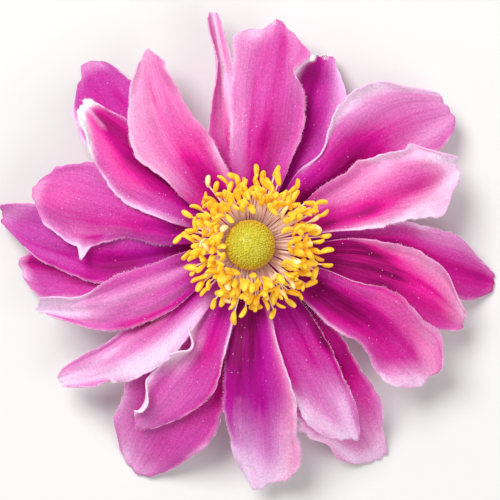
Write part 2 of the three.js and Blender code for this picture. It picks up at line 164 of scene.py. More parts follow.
# Where a tip is longer or shorter: the place across it, how far, and how wide
TIPS = {
    1: ((0.5, -0.55, 0.3), (0.1, 0.35, 0.2), (-0.35, -0.3, 0.3), (1.0, 0.3, 0.25)),
    2: ((-0.55, 0.8, 0.5),),
    3: ((0.1, -0.9, 0.5), (-0.7, 0.4, 0.3), (0.85, 1.6, 0.3)),
    4: ((0.0, -0.5, 0.4), (0.8, 1.2, 0.35), (-0.9, 0.9, 0.35)),
    5: ((-0.8, 0.7, 0.6),),
    6: ((0.0, -0.7, 0.6), (0.8, 0.9, 0.5), (-0.8, 1.0, 0.5)),
    7: ((-0.1, -1.5, 0.9), (0.95, 1.3, 0.4)),
    8: ((0.75, 1.0, 0.25),),
    9: ((0.6, 0.9, 0.4), (-0.1, -0.7, 0.3)),
    10: ((-0.6, 1.0, 0.4), (0.45, -0.5, 0.25), (1.0, 0.6, 0.3)),
    11: ((0.9, 1.0, 0.5),),
    15: ((0.0, 0.6, 0.5), (0.9, 0.9, 0.5)),
    16: ((-0.9, 1.5, 0.4),),
    17: ((0.0, -0.6, 0.5),),
    18: ((0.4, 0.8, 0.6), (-0.8, 1.2, 0.4)),
    19: ((0.0, 0.5, 0.25), (0.45, -0.5, 0.2), (-0.35, 0.3, 0.25)),
    20: ((-0.9, -0.6, 0.4),),
    21: ((0.0, 0.5, 0.9),),
}

# Where a tip leans to the left, in millimetres
SWAYS = {21: 0.9}

# Where a margin rolls up and in: the place along, the side, how far along it goes, where across
# the roll begins, and how far it turns in degrees
ROLLS = {
    2: ((0.9, 1, 0.13, 0.62, 150),),
    3: ((0.3, 1, 0.13, 0.6, 110), (0.62, 1, 0.2, 0.8, 50)),
    4: ((0.34, -1, 0.18, 0.84, 95),),
    7: ((0.32, 1, 0.16, 0.84, 70),),
    8: ((0.88, -1, 0.07, 0.8, 100),),
    10: ((0.42, 1, 0.2, 0.7, 115),),
    12: ((0.505, -1, 0.1, 0.3, 140), (0.905, -1, 0.09, 0.5, 140), (0.42, 1, 0.2, 0.84, 110)),
    13: ((0.34, 1, 0.14, 0.8, 60),),
    17: ((0.72, 1, 0.18, 0.88, 80),),
    18: ((0.31, 1, 0.07, 0.72, 120), (0.965, 1, 0.09, 0.48, 125)),
}

# Tufts of wool at the tips: the tepal, the place along and across, how far the tuft spreads in
# millimetres, and how many hairs it has
TUFTS = (
    (1, 0.99, 0.15, 0.45, 50), (2, 0.99, 0.55, 0.5, 320), (2, 0.99, -0.25, 0.6, 70),
    (13, 0.8, 0.85, 0.4, 50), (18, 0.97, 0.85, 0.9, 900), (18, 0.99, -0.6, 0.7, 500),
)

# Each tepal's tone, from violet at 0 to warm pink at 1
TONES = {
    1: 0.60, 2: 0.15, 3: 0.45, 4: 0.85, 5: 0.42, 6: 0.62, 7: 0.50, 8: 0.50, 9: 0.30, 10: 0.05, 11: 0.40,
    12: 0.40, 13: 0.40, 14: 0.45, 15: 0.35, 16: 0.20, 17: 0.35, 18: 0.45, 19: 0.20, 20: 0.90, 21: 0.75,
}

# Washes of colour: each runs from one place (along, across) to another, with a width and a strength.
# Past a strength of 1, deep turns to the dark purple of the foot, and pale to near white.
# Deep washes are partly the petals' own deep magenta and partly painted shade: in the channels, under
# overlapping tepals and under the stamens
DEEP_AND_SHADE_WASHES = {
    1: ((0.15, 0.1, 0.4, 0.05, 0.45, 0.8), (0.4, 0.0, 0.95, -0.25, 0.14, 0.5),
        (0.35, -0.35, 0.9, -0.35, 0.1, 0.25), (0.3, 0.45, 0.7, 0.35, 0.1, 0.3)),
    2: ((0.2, 0.0, 0.97, 0.1, 0.4, 0.9), (0.4, 0.6, 0.9, 0.6, 0.5, 1.0), (0.2, -0.3, 0.6, -0.2, 0.5, 0.6)),
    3: ((0.15, 0.2, 0.46, -0.2, 0.6, 1.25), (0.5, -0.25, 0.75, -0.35, 0.25, 0.35),
        (0.45, 0.05, 0.78, 0.05, 0.22, 0.3), (0.6, -0.38, 0.61, -0.36, 0.07, 0.6)),
    4: ((0.12, -0.3, 0.3, -0.4, 0.5, 0.65), (0.3, -0.55, 0.5, -0.48, 0.26, 0.75),
        (0.5, -0.48, 0.86, -0.2, 0.24, 0.75), (0.2, 0.0, 0.4, 0.1, 0.3, 0.3)),
    5: ((0.15, 0.0, 0.33, 0.1, 0.6, 0.6), (0.15, 0.0, 0.48, 0.0, 0.6, 1.1), (0.55, 0.4, 0.6, 0.7, 0.2, 0.2),
        (0.6, 0.0, 0.92, -0.1, 0.35, 1.0), (0.7, -0.8, 0.95, -0.6, 0.5, 0.7)),
    6: ((0.1, 0.1, 0.33, 0.1, 0.7, 1.5), (0.22, 0.75, 0.35, 0.8, 0.3, 1.0), (0.3, 0.0, 0.5, -0.1, 0.6, 0.7),
        (0.5, 0.0, 0.82, -0.1, 0.45, 0.9), (0.6, -0.7, 0.85, -0.7, 0.3, 0.5),
        (0.3, 0.6, 0.5, 0.55, 0.3, 0.6), (0.45, 0.4, 0.95, 0.1, 0.06, 0.5)),
    7: ((0.1, -0.1, 0.35, -0.3, 0.7, 1.3), (0.35, 0.1, 0.72, -0.3, 0.6, 0.8),
        (0.35, 1.0, 0.62, 1.0, 0.15, 0.8), (0.5, 0.3, 0.85, 0.1, 0.12, 0.3)),
    8: ((0.1, 0.6, 0.5, 0.75, 0.6, 1.6), (0.55, 0.6, 0.85, 0.5, 0.2, 0.3),
        (0.85, -0.4, 0.9, -0.7, 0.15, 0.3)),
    9: ((0.1, 0.0, 0.35, 0.0, 0.8, 0.9), (0.35, -0.8, 0.65, -0.85, 0.2, 0.7),
        (0.35, 0.2, 0.55, 0.15, 0.15, 0.4), (0.2, 0.95, 0.45, 0.95, 0.3, 1.5),
        (0.45, 0.95, 0.66, 0.95, 0.25, 0.9)),
    10: ((0.1, -0.3, 0.32, -0.3, 0.9, 1.8), (0.45, -0.75, 0.58, -0.75, 0.35, 0.6),
         (0.6, 0.1, 0.8, 0.1, 0.2, 0.5)),
    11: ((0.1, 0.3, 0.52, 0.7, 0.6, 1.0), (0.6, 0.3, 0.9, 0.2, 0.2, 0.15)),
    12: ((0.1, 0.2, 0.42, 0.3, 0.5, 1.0), (0.55, 0.95, 0.8, 0.95, 0.13, 0.7)),
    13: ((0.15, -0.3, 0.45, -0.5, 0.45, 1.3), (0.45, -0.5, 0.75, -0.5, 0.1, 0.3)),
    14: ((0.15, -0.2, 0.3, 0.0, 0.5, 0.4), (0.25, 0.95, 0.58, 0.9, 0.22, 0.9)),
    15: ((0.6, 0.5, 0.75, 0.6, 0.3, 0.3), (0.1, 0.0, 0.4, 0.0, 0.8, 0.8),
         (0.72, 0.0, 0.95, -0.1, 0.4, 1.3)),
    16: ((0.15, 0.2, 0.42, 0.5, 0.6, 1.1), (0.45, 0.5, 0.55, 0.6, 0.3, 0.5),
         (0.6, 0.9, 0.85, 0.9, 0.15, 0.7), (0.7, 0.4, 0.9, 0.5, 0.1, 0.6),
         (0.55, 0.3, 0.65, 0.2, 0.3, 0.5)),
    17: ((0.2, 0.2, 0.65, 0.45, 0.35, 0.6), (0.2, 0.0, 0.35, 0.0, 0.7, 0.6),
         (0.62, 0.75, 0.75, 0.75, 0.06, 0.6)),
    18: ((0.2, -0.3, 0.84, -0.4, 0.5, 1.6), (0.3, 0.1, 0.62, 0.15, 0.3, 0.6)),
    19: ((0.74, -0.35, 0.8, -0.3, 0.1, 0.5), (0.3, 0.0, 0.8, 0.1, 0.8, 0.7)),
    20: ((0.1, -0.05, 0.34, -0.2, 0.5, 1.1), (0.4, -0.1, 0.75, -0.1, 0.12, 0.4),
         (0.83, 0.0, 0.86, 0.0, 0.1, 1.0), (0.76, -0.05, 0.79, -0.05, 0.09, 0.8),
         (0.45, -0.7, 0.55, -0.7, 0.3, 0.2)),
    21: ((0.1, 0.0, 0.35, 0.0, 0.8, 0.55), (0.45, 0.7, 0.65, 0.7, 0.3, 0.15)),
}
# Pale washes are partly the petals' pale margins and tips and partly painted light, where rims and tips
# catch the light
PALE_AND_LIT_WASHES = {
    1: ((0.53, 0.95, 0.95, 0.9, 0.38, 0.6), (0.28, 0.6, 0.42, 0.85, 0.3, 0.45),
        (0.75, -0.8, 0.95, -0.6, 0.3, 0.35), (0.97, 0.3, 0.97, 0.6, 0.2, 0.7)),
    2: ((0.7, -0.92, 0.97, -0.82, 0.28, 0.95), (0.82, 1.0, 0.98, 1.0, 0.35, 2.2)),
    3: ((0.74, -0.65, 0.9, -0.5, 0.22, 0.5), (0.35, 1.0, 0.6, 1.0, 0.2, 1.7),
        (0.66, 1.0, 0.97, 1.0, 0.33, 1.9), (0.8, -0.1, 1.0, 0.2, 0.6, 0.3),
        (0.6, 0.45, 0.95, 0.4, 0.35, 0.25), (0.85, -0.8, 0.97, -0.4, 0.3, 0.2)),
    4: ((0.2, 0.3, 0.45, 0.5, 0.35, 0.35), (0.42, 0.1, 0.62, 0.35, 0.24, 0.6),
        (0.7, 0.85, 0.97, 0.6, 0.42, 1.35), (0.45, -0.98, 0.75, -0.95, 0.2, 1.1),
        (0.8, -0.8, 0.97, -0.6, 0.4, 1.3), (0.97, -0.3, 0.97, 0.4, 0.3, 0.9),
        (0.2, -1.0, 0.5, -1.0, 0.12, 0.9)),
    5: ((0.68, 0.8, 0.92, 0.8, 0.22, 0.6), (0.4, 0.9, 0.65, 1.0, 0.15, 0.5)),
    6: ((0.42, 0.95, 0.6, 0.8, 0.25, 0.35), (0.75, 0.8, 0.95, 0.6, 0.33, 0.75),
        (0.95, 0.0, 1.0, 0.2, 0.4, 0.6)),
    7: ((0.86, 0.7, 0.97, 0.3, 0.3, 0.6), (0.88, -0.9, 0.97, -0.3, 0.36, 1.3),
        (0.2, -1.0, 0.5, -1.0, 0.1, 0.6)),
    8: ((0.85, -0.6, 0.97, -0.4, 0.3, 0.8), (0.6, 0.2, 0.85, 0.3, 0.4, 0.35),
        (0.92, 0.9, 1.0, 0.0, 0.3, 0.9), (0.73, -1.0, 0.97, -0.7, 0.2, 0.9)),
    9: ((0.79, -0.9, 0.97, -0.4, 0.42, 1.3), (0.84, 0.35, 0.97, 0.3, 0.45, 1.15),
        (0.55, -0.2, 0.7, 0.0, 0.3, 0.2)),
    10: ((0.45, -0.1, 0.65, 0.1, 0.4, 0.2), (0.87, -0.85, 0.93, -0.7, 0.25, 0.85),
         (0.92, -0.3, 1.0, 0.0, 0.55, 1.35), (0.6, -0.55, 0.7, -0.55, 0.2, 0.4),
         (0.77, 0.75, 0.95, 0.7, 0.35, 0.9), (0.2, 0.9, 0.62, 0.95, 0.2, 0.9)),
    11: ((0.78, -0.95, 0.97, -0.6, 0.25, 0.55), (0.95, -0.3, 1.0, 0.2, 0.3, 0.6),
         (0.8, 0.95, 0.85, 0.9, 0.1, 0.5)),
    12: ((0.38, -1.0, 0.6, -1.0, 0.22, 1.5), (0.75, -1.0, 0.97, -0.9, 0.2, 1.2),
         (0.2, 0.97, 0.42, 0.97, 0.11, 1.1), (0.75, 0.0, 0.95, -0.1, 0.5, 0.2),
         (0.47, -0.2, 0.6, -0.35, 0.22, 0.7)),
    13: ((0.32, 0.75, 0.62, 0.5, 0.42, 1.3), (0.45, -0.35, 0.7, -0.45, 0.25, 0.6),
         (0.65, 0.7, 1.0, 0.1, 0.5, 1.15), (0.8, -0.5, 0.97, -0.3, 0.5, 0.8)),
    14: ((0.25, -0.2, 0.6, -0.25, 0.3, 0.7), (0.88, 0.1, 1.0, 0.1, 0.55, 1.7),
         (0.84, -0.8, 0.97, -0.6, 0.35, 1.6), (0.3, 0.6, 0.5, 0.5, 0.3, 0.3)),
    15: ((1.0, -0.5, 1.0, 0.6, 0.1, 0.9),),
    16: ((0.9, -0.9, 1.0, 0.0, 0.15, 0.4),),
    17: ((0.7, 1.0, 0.7, 0.97, 0.1, 1.2), (0.5, 0.5, 0.7, 0.6, 0.25, 0.3),
         (0.76, 0.95, 0.92, 0.95, 0.2, 0.9), (0.6, -0.7, 0.85, -0.7, 0.25, 0.2),
         (0.97, -0.4, 0.97, 0.4, 0.1, 0.6)),
    18: ((0.25, 0.97, 0.68, 0.97, 0.18, 0.9), (0.88, -0.2, 0.95, -0.25, 0.18, 0.9)),
    19: ((0.72, 1.0, 0.97, 0.95, 0.13, 1.0), (0.98, -0.5, 1.0, 0.3, 0.12, 0.5)),
    20: ((0.42, 0.85, 0.9, 0.8, 0.42, 0.85), (0.85, 0.0, 1.0, 0.0, 0.6, 0.65),
         (0.5, 0.0, 0.7, 0.2, 0.3, 0.25), (0.6, -0.8, 0.9, -0.8, 0.25, 0.35),
         (0.26, -0.9, 0.4, -0.95, 0.2, 0.8)),
    21: ((0.45, 0.5, 0.6, 0.5, 0.2, 0.5), (0.58, -0.3, 0.95, 0.0, 0.5, 1.35),
         (0.5, -0.9, 0.9, -0.9, 0.3, 0.7)),
}
WOOL_WASHES = {
    2: ((1.0, 0.5, 1.0, 0.8, 0.1, 1.3), (0.82, 1.0, 0.96, 1.0, 0.25, 0.5)),
    12: ((0.43, -0.8, 0.58, -0.8, 0.25, 0.5), (0.84, -1.0, 0.97, -1.0, 0.15, 0.6)),
    18: ((0.9, 0.95, 1.0, 0.4, 0.22, 1.3), (1.0, 0.4, 1.0, -0.9, 0.1, 1.3)),
}
WARM_WASHES = {
    6: ((0.45, 0.5, 0.9, 0.2, 0.5, 0.7),),
    7: ((0.6, 0.7, 0.95, 0.5, 0.4, 0.5),),
    10: ((0.3, 0.95, 0.97, 0.8, 0.3, 0.9),),
    17: ((0.85, 0.0, 1.0, 0.0, 0.6, 0.5),),
    18: ((0.6, 0.4, 0.95, 0.2, 0.4, 0.6),),
}
ALONG_SHARE = 3.0
STRONGEST_WASH = 1.8

# Every petal is deeper and cooler at its foot, partly its own colour and partly painted shade under the
# stamens, and paler at its rim and tip
FOOT_DEPTH_AND_SHADE = 0.95
FOOT_COOLNESS = 0.45
RIM_PALENESS = 0.5
TIP_PALENESS = 0.3

# Seeds of the random draws, so that every run grows the same bloom
SEEDS = {
    "stamens": 7, "anthers": 11, "anther sizes": 3, "anther shades": 5, "carpels": 4, "margin hairs": 23,
    "stalk hairs": 31, "hair lengths": 9, "droplets": 41, "droplet sizes": 2,
}

# What strays at random strays less upwards than sideways
FLATTENED = (1, 1, 0.6)

# Fineness of the petals: rows from claw to tip, and columns that crowd towards the margins
ROWS = 97
COLUMNS = 45
CROWDING = 1.25

# Fine relief of a petal: how many waves it has across or along, and how high the crumples are
VEINS_ACROSS, FINE_VEINS_ACROSS = 7.5, 13
FOLDS_ACROSS = 1.6
CRUMPLES_ALONG, FINE_CRUMPLES_ALONG = 5.3, 11
CRUMPLE_HEIGHT = 0.16
FRILLS_ALONG, FINE_FRILLS_ALONG = 9, 17
FRILL_SHARE, FINE_FRILL_SHARE = 0.012, 0.01
TIP_WAVE, FINE_TIP_WAVE = 0.16, 0.1

# Hairs on the margins start this many rows from the claw, on a coarser grid. A hair lifts and strays
# from its petal's plane, its length varies, and none reaches nearer to the sides of the frame's box
# than the margin.
HAIR_ROW = 25
HAIR_COLUMNS = 21
HAIR_LIFTS = (0.1, 1.0)
HAIR_STRAY = 0.35
HAIR_LENGTHS = (0.45, 1.25)
HAIR_REACH = 1.3
HAIR_SINK = 0.05
BOX_MARGIN = 0.02

# The hairs of a tuft: how far their roots scatter, how much they point outward and up, and how wildly
TUFT_SCATTER = 0.08
TUFT_AIM, TUFT_LIFT = 0.6, 0.35
TUFT_STRAY = 0.8

# Beads of dew lie between these rows, off the margins, and vary in size. They crowd towards the middle
# of a petal, and sit a little above it.
DROPLET_ROWS = (12, ROWS - 2)
DROPLET_COLUMNS = (3, COLUMNS - 3)
DROPLET_SIZES = (0.5, 1.3)
DROPLET_CROWDING = (1.6, 2.2)
DROPLET_LIFT = 0.01

# How far out the stamens reach: the share of them, and the radius that it stays within
REACH_SHARES = (0, 0.06, 0.25, 0.53, 0.80, 0.955, 1)
REACHES = (4.6, 5.4, 6.2, 7.1, 8.4, 9.7, 10.7)

# The ring of anthers sits a little to one side of the ball: how far in millimetres, and which way
LEAN = 0.8
LEAN_SIDE = math.radians(25)

# The line of a filament: where it leaves the receptacle, how high the innermost and the outermost
# end above the ring's foot, where it bends, how high its start, bend and end lie at the least, and its
# clearance from the ball, from the petals and at its sunken foot
FILAMENT_FOOT = (2.64, 2.72)
FILAMENT_START = 2.5
INNER_RISE, OUTER_RISE = 5.0, 0.8
BEND_START, BEND_REACH, BEND_RISE = 3.2, 0.3, 0.55
START_HEIGHT, BEND_HEIGHT, END_HEIGHT = 0.35, 0.7, 0.6
BALL_CLEARANCE = 0.8
PETAL_CLEARANCE = 1.1
FOOT_CLEARANCE, FOOT_SINK = 0.1, 0.5
FILAMENT_POINTS = 11
FILAMENT_SIDES = 6
FILAMENT_SLIMMING = 0.3
GOLDEN_ANGLE = math.pi * (3 - math.sqrt(5))

# How far a stamen strays: its foot and its end in angle, its reach and its rise
FOOT_STRAY, END_STRAY = 0.06, 0.08
REACH_STRAY, RISE_STRAY = 0.3, 0.5

# An anther: its fineness, how blunt its ends are, how much fuller its far end is, its furrow, how
# thick it is beside its width, its bend, how it tilts on its filament, and how much its size varies
ANTHER_RINGS, ANTHER_SIDES = 11, 14
ANTHER_BLUNTNESS, ANTHER_FULLNESS = 0.8, 0.14
FURROW_DEPTH, FURROW_WIDTH = 0.24, 0.45
ANTHER_THICKNESS = 0.78
ANTHER_BEND, BEND_MIDDLE = 0.5, 0.4
ANTHER_SEAT = 0.25
ANTHER_TILT = 0.7
ANTHER_SPREAD = 0.16

# The ball under the carpels: its fineness. Their domes are taller than they are wide, vary in size
# and lean a little.
BALL_RINGS, BALL_SIDES = 24, 40
DOME_STRETCH = 1.35
DOME_SIZES = (0.82, 1.12)
DOME_LEAN = 0.04

# The stalk and the receptacle that it widens into: radii, and heights from the cut end
STALK_RADIUS = 0.95
NECK_RADIUS = 1.8
RECEPTACLE_RADIUS = CLAW_RADIUS - 0.35
SHOULDER = CLAW_HEIGHT - FRAME_THICKNESS / 2 - 0.2
FLARE = SHOULDER - 1.2
STALK_BEVEL = 0.06
STALK_LINE = np.array([
    (0, STALK_RADIUS - 0.05), (STALK_BEVEL, STALK_RADIUS),
    (SHOULDER - 2.2, STALK_RADIUS), (FLARE, STALK_RADIUS + 0.35),
    (SHOULDER - 0.25, RECEPTACLE_RADIUS - 0.3), (SHOULDER, RECEPTACLE_RADIUS),
    (RING_FOOT - 0.4, RECEPTACLE_RADIUS), (RING_FOOT - 0.15, NECK_RADIUS),
    (SEAT - 0.1, NECK_RADIUS), (SEAT, NECK_RADIUS - 0.1),
])
STALK_ROWS, STALK_SIDES = 91, 72
STALK_RIBS, FINE_STALK_RIBS = 11, 23
RIB_HEIGHT, FINE_RIB_HEIGHT = 0.03, 0.015
RIB_FADE = 0.3
STALK_HAIRS = 420
STALK_HAIR_HEIGHTS = (0.35, SHOULDER - 2.0)
STALK_HAIR_RISE, STALK_HAIR_STRAY = 0.5, 0.3

# The camera's sensor, in millimetres as Blender counts it
SENSOR_WIDTH = 36.0

# The stage, in metres: the floor, the height at which the view's width counts, and the lamps
FLOOR_HALF = 1.5
PETAL_HEIGHT = 0.01
KEY_PLACE, KEY_WIDTH = (-0.35, 0.45, 0.75), 0.55
FILL_PLACE, FILL_WIDTH = (0.5, -0.3, 0.6), 0.7


def size_field(label, description, millimetres, least=0.0):
    return FloatProperty(
        name=label, description=description, default=millimetres * MM, min=least * MM, subtype="DISTANCE")


def colour_field(label, description, *channels):
    return FloatVectorProperty(
        name=label, description=description, default=channels, subtype="COLOR", size=3)


class BloomSizes(bpy.types.PropertyGroup):
    """Sizes of the fine forms, in metres."""

    thickness: size_field("Petal thickness", "Thickness of a petal in its middle", 0.38, least=0.1)
    vein_depth: size_field("Vein depth", "How deep the lengthwise furrows are", 0.018)
    fold_depth: size_field("Fold depth", "How deep the broad lengthwise folds are", 0.13)
    hair_length: size_field("Hair length", "Length of the silky hairs on the margins", 0.42)
    hair_radius: size_field("Hair radius", "Radius of a hair at its root", 0.012)
    hair_spacing: size_field("Hair spacing", "Distance between two hairs on a margin", 0.075, least=0.05)
    stalk_hair_length: size_field("Stalk hair length", "Length of the hairs on the stalk", 0.4)
    tuft_length: size_field("Tuft hair length", "Length of the woolly hairs at some tips", 0.6)
    tuft_radius: size_field("Tuft hair radius", "Radius of a woolly hair at its root", 0.02)
    filament_radius: size_field("Filament radius", "Radius of a filament at its foot", 0.11)
    anther_length: size_field("Anther length", "Length of a full anther", 2.0)
    anther_width: size_field("Anther width", "Width of a full anther", 0.86)
    carpel_radius: size_field("Carpel radius", "Radius of one carpel's tip on the ball", 0.15)
    droplet_radius: size_field("Droplet radius", "Radius of a usual bead of dew", 0.055)
    droplets: IntProperty(
        name="Droplets", description="How many beads each petal carries", default=26, min=0)
    stamens: IntProperty(
        name="Stamens", description="How many stamens the ring has", default=285, min=10)
    carpels: IntProperty(
        name="Carpels", description="How many carpels the ball has", default=1150, min=20)


class BloomColours(bpy.types.PropertyGroup):
    """Colours of the bloom."""

    petal_violet: colour_field("Petal violet", "Cool middle pink of a petal", 0.51, 0.055, 0.395)
    petal_pink: colour_field("Petal pink", "Warm middle pink of a petal", 0.735, 0.105, 0.41)
    # The deep colours darken the channels, the foot and the places under other tepals: partly the petals'
    # own colour and partly painted shade, darkest at the foot
    petal_deep: colour_field("Petal magenta", "Deep magenta of the channels", 0.575, 0.002, 0.25)
    petal_deep_violet: colour_field(
        "Petal deep violet", "Deep violet of the channels of the cooler petals", 0.475, 0.004, 0.31)
    petal_vivid: colour_field(
        "Petal vivid pink", "Bright magenta of the channels of the warmest petals", 0.78, 0.010, 0.30)
    petal_foot_and_shade: colour_field("Petal foot", "Darkest purple, near the claw", 0.20, 0.001, 0.078)
    # The pale colours lighten the margins and tips: partly the petals' own paler colour and partly painted
    # light
    petal_pale: colour_field(
        "Petal margin", "Pale lilac of the margins of the cooler petals", 0.775, 0.385, 0.71)
    petal_pale_warm: colour_field(
        "Warm petal margin", "Pale pink of the margins of the warmer petals", 0.81, 0.365, 0.585)
    petal_white: colour_field("Petal rim", "Near white of the palest margins", 0.86, 0.65, 0.84)
    petal_under: colour_field("Petal underside", "Silky pink of the underside", 0.90, 0.46, 0.74)
    hair: colour_field("Hairs", "Silky white of the hairs", 0.97, 0.78, 0.90)
    wool: colour_field("Wool", "White of the woolly tufts at some tips", 0.95, 0.90, 0.92)
    dew: colour_field("Dew", "Faint pink of the beads of dew", 0.95, 0.80, 0.90)
    dew_bright: colour_field("Bright dew", "Lightest part of the beads of dew", 1.0, 0.93, 0.96)
    filament_foot: colour_field("Filament foot", "Mauve of a filament near the ball", 0.97, 0.68, 0.66)
    filament_end: colour_field(
        "Filament end", "Cream of a filament under its anther", 1.0, 0.84, 0.64)
    anther: colour_field("Anther", "Golden yellow of the anthers", 1.0, 0.51, 0.006)
    anther_pale: colour_field("Anther pollen", "Paler yellow of ripe pollen", 1.0, 0.76, 0.06)
    # The carpels are yellow-green at the top of the ball and gold low on it: partly their own colour and
    # partly painted light from above
    carpel: colour_field("Carpel", "Yellow green of the carpels' tips", 0.70, 0.60, 0.028)
    carpel_rim: colour_field("Carpel rim", "Gold of the carpels low on the ball", 0.80, 0.46, 0.004)
    # Painted shade in the hollows between the carpels
    carpel_gap_shade: colour_field("Between carpels", "Darker green between the carpels", 0.50, 0.40, 0.015)
    stem: colour_field("Stalk", "Green of the stalk and receptacle", 0.22, 0.30, 0.09)
    stem_blush: colour_field("Stalk blush", "Purple flecks on the stalk", 0.30, 0.10, 0.12)
    floor: colour_field("Floor", "Plain pale floor", 0.80, 0.80, 0.78)


class StageSettings(bpy.types.PropertyGroup):
    """The camera and the studio light."""

    camera_height: size_field("Camera height", "Height of the camera above the surface", 460)
    view_width: size_field("View width", "Width of the view at the height of the petals", 71.4)
    axis_offset: size_field(
        "Axis offset", "How far above the middle of the view the axis stands", 0.71)
    key_power: FloatProperty(
        name="Key light", description="Power of the large soft light", default=8.0, subtype="POWER")
    fill_power: FloatProperty(
        name="Fill light", description="Power of the fill light", default=2.2, subtype="POWER")
    sky: FloatProperty(
        name="Sky", description="Strength of the even light from all around", default=0.36)


class Wire:
    """A node's output, so that maths on it reads as a plain expression."""

    def __init__(self, board, socket):
        self.board = board
        self.socket = socket

    def math(self, operation, *operands):
        return self.board.node("ShaderNodeMath", {"operation": operation}, dict(enumerate(operands)))

    def __add__(self, other):
        return self.math("ADD", self, other)

    def __sub__(self, other):
        return self.math("SUBTRACT", self, other)

    def __rsub__(self, other):
        return self.math("SUBTRACT", other, self)

    def __mul__(self, other):
        return self.math("MULTIPLY", self, other)

    def __truediv__(self, other):
        return self.math("DIVIDE", self, other)

    def __pow__(self, other):
        return self.math("POWER", self, other)

    __radd__ = __add__
    __rmul__ = __mul__

    def clamped(self):
        return self.board.node("ShaderNodeClamp", {}, {"Value": self})

    def risen(self, low, high):
        """From 0 below low to 1 above high, with soft ends."""
        return self.board.node(
            "ShaderNodeMapRange", {"interpolation_type": "SMOOTHSTEP"},
            {"Value": self, "From Min": low, "From Max": high})


class Board:
    """A node tree that is being laid out."""

    def __init__(self, tree):
        self.tree = tree

    def node(self, kind, settings=None, values=None, output=0):
        made = self.tree.nodes.new(kind)
        for name, setting in (settings or {}).items():
            setattr(made, name, setting)
        for name, value in (values or {}).items():
            if isinstance(value, Wire):
                self.tree.links.new(value.socket, made.inputs[name])
            else:
                made.inputs[name].default_value = value
        return Wire(self, made.outputs[output])

    def vector(self, x, y, z):
        return self.node("ShaderNodeCombineXYZ", {}, {0: x, 1: y, 2: z})

    def vector_math(self, operation, values, output=0):
        return self.node("ShaderNodeVectorMath", {"operation": operation}, values, output)


class Growth(Board):
    """A Geometry Nodes tree with named inputs, which ends in Realize Instances and Set Material."""

    def __init__(self, name, inputs):
        super().__init__(bpy.data.node_groups.new(name, "GeometryNodeTree"))
        sockets = self.tree.interface
        sockets.new_socket("Geometry", in_out="INPUT", socket_type="NodeSocketGeometry")
        for label, kind in inputs.items():
            sockets.new_socket(label, in_out="INPUT", socket_type=f"NodeSocket{kind}")
        sockets.new_socket("Geometry", in_out="OUTPUT", socket_type="NodeSocketGeometry")
        source = self.tree.nodes.new("NodeGroupInput")
        self.given = {socket.name: Wire(self, socket) for socket in source.outputs if socket.name}
        self.sink = self.tree.nodes.new("NodeGroupOutput")

    def points(self):
        return self.node("GeometryNodeMeshToPoints", {}, {"Mesh": self.given["Geometry"]})

    def attribute(self, name, kind="FLOAT"):
        return self.node("GeometryNodeInputNamedAttribute", {"data_type": kind}, {"Name": name})

    def random(self, low, high, seed):
        values = {2: low, 3: high, "Seed": seed}
        return self.node("FunctionNodeRandomValue", {"data_type": "FLOAT"}, values, output=1)

    def upright(self, direction):
        """The rotation that turns a shape's height to a direction."""
        return self.node("FunctionNodeAlignRotationToVector", {"axis": "Z"}, {"Vector": direction})

    def copies(self, points, shape, size, **more):
        values = {"Points": points, "Instance": shape, "Scale": size, **more}
        return self.node("GeometryNodeInstanceOnPoints", {}, values)

    def end(self, geometry, material):
        whole = self.node("GeometryNodeRealizeInstances", {}, {"Geometry": geometry})
        dressed = self.node("GeometryNodeSetMaterial", {}, {"Geometry": whole, "Material": material})
        self.tree.links.new(dressed.socket, self.sink.inputs[0])
        return self.tree


class Finish(Board):
    """A material made of nodes, with one Principled shader."""

    def __init__(self, name, roughness, sheen=0.0, subsurface=0.0, depth=0.6 * MM, coat=0.0):
        self.material = bpy.data.materials.new(name)
        self.material.use_nodes = True
        super().__init__(self.material.node_tree)
        self.tree.nodes.clear()
        self.shader = self.tree.nodes.new("ShaderNodeBsdfPrincipled")
        output = self.tree.nodes.new("ShaderNodeOutputMaterial")
        self.tree.links.new(self.shader.outputs[0], output.inputs[0])
        self.feed("Roughness", roughness)
        self.feed("Sheen Weight", sheen)
        self.feed("Sheen Roughness", 0.4)
        self.feed("Coat Weight", coat)
        self.feed("Subsurface Weight", subsurface)
        self.feed("Subsurface Scale", depth)

    def feed(self, name, value):
        socket = self.shader.inputs[name]
        if isinstance(value, Wire):
            self.tree.links.new(value.socket, socket)
        else:
            socket.default_value = value

    def glow(self, colour, strength):
        """A little light of its own, as lit tissue passes on."""
        self.feed("Emission Color", opaque(colour))
        self.feed("Emission Strength", strength)

    def attribute(self, name):
        return self.node("ShaderNodeAttribute", {"attribute_name": name}, output=2)

    def place(self):
        """Object coordinates."""
        return self.node("ShaderNodeTexCoord", output=3)

    def height(self, place):
        return self.node("ShaderNodeSeparateXYZ", {}, {0: place}, output=2)

    def colour_mix(self, share, first, second, blend="MIX"):
        made = {0: share, 6: opaque(first), 7: opaque(second)}
        return self.node("ShaderNodeMix", {"data_type": "RGBA", "blend_type": blend}, made, output=2)

    def shaded(self, colour, share):
        """A colour times a share that varies from place to place."""
        grey = self.node("ShaderNodeCombineColor", {}, {channel: share for channel in range(3)})
        return self.colour_mix(1.0, colour, grey, blend="MULTIPLY")

    def noise(self, vector, scale, detail=2.0, roughness=0.5):
        values = {"Vector": vector, "Scale": scale, "Detail": detail, "Roughness": roughness}
        return self.node("ShaderNodeTexNoise", {}, values)

    def stretched_noise(self, place, scales, base=1.0, detail=3.0, roughness=0.5):
        stretched = self.node("ShaderNodeMapping", {}, {"Vector": place, "Scale": scales})
        return self.noise(stretched, base, detail, roughness)

    def bump(self, height, distance, strength=1.0):
        values = {"Height": height, "Distance": distance, "Strength": strength}
        self.feed("Normal", self.node("ShaderNodeBump", {}, values))


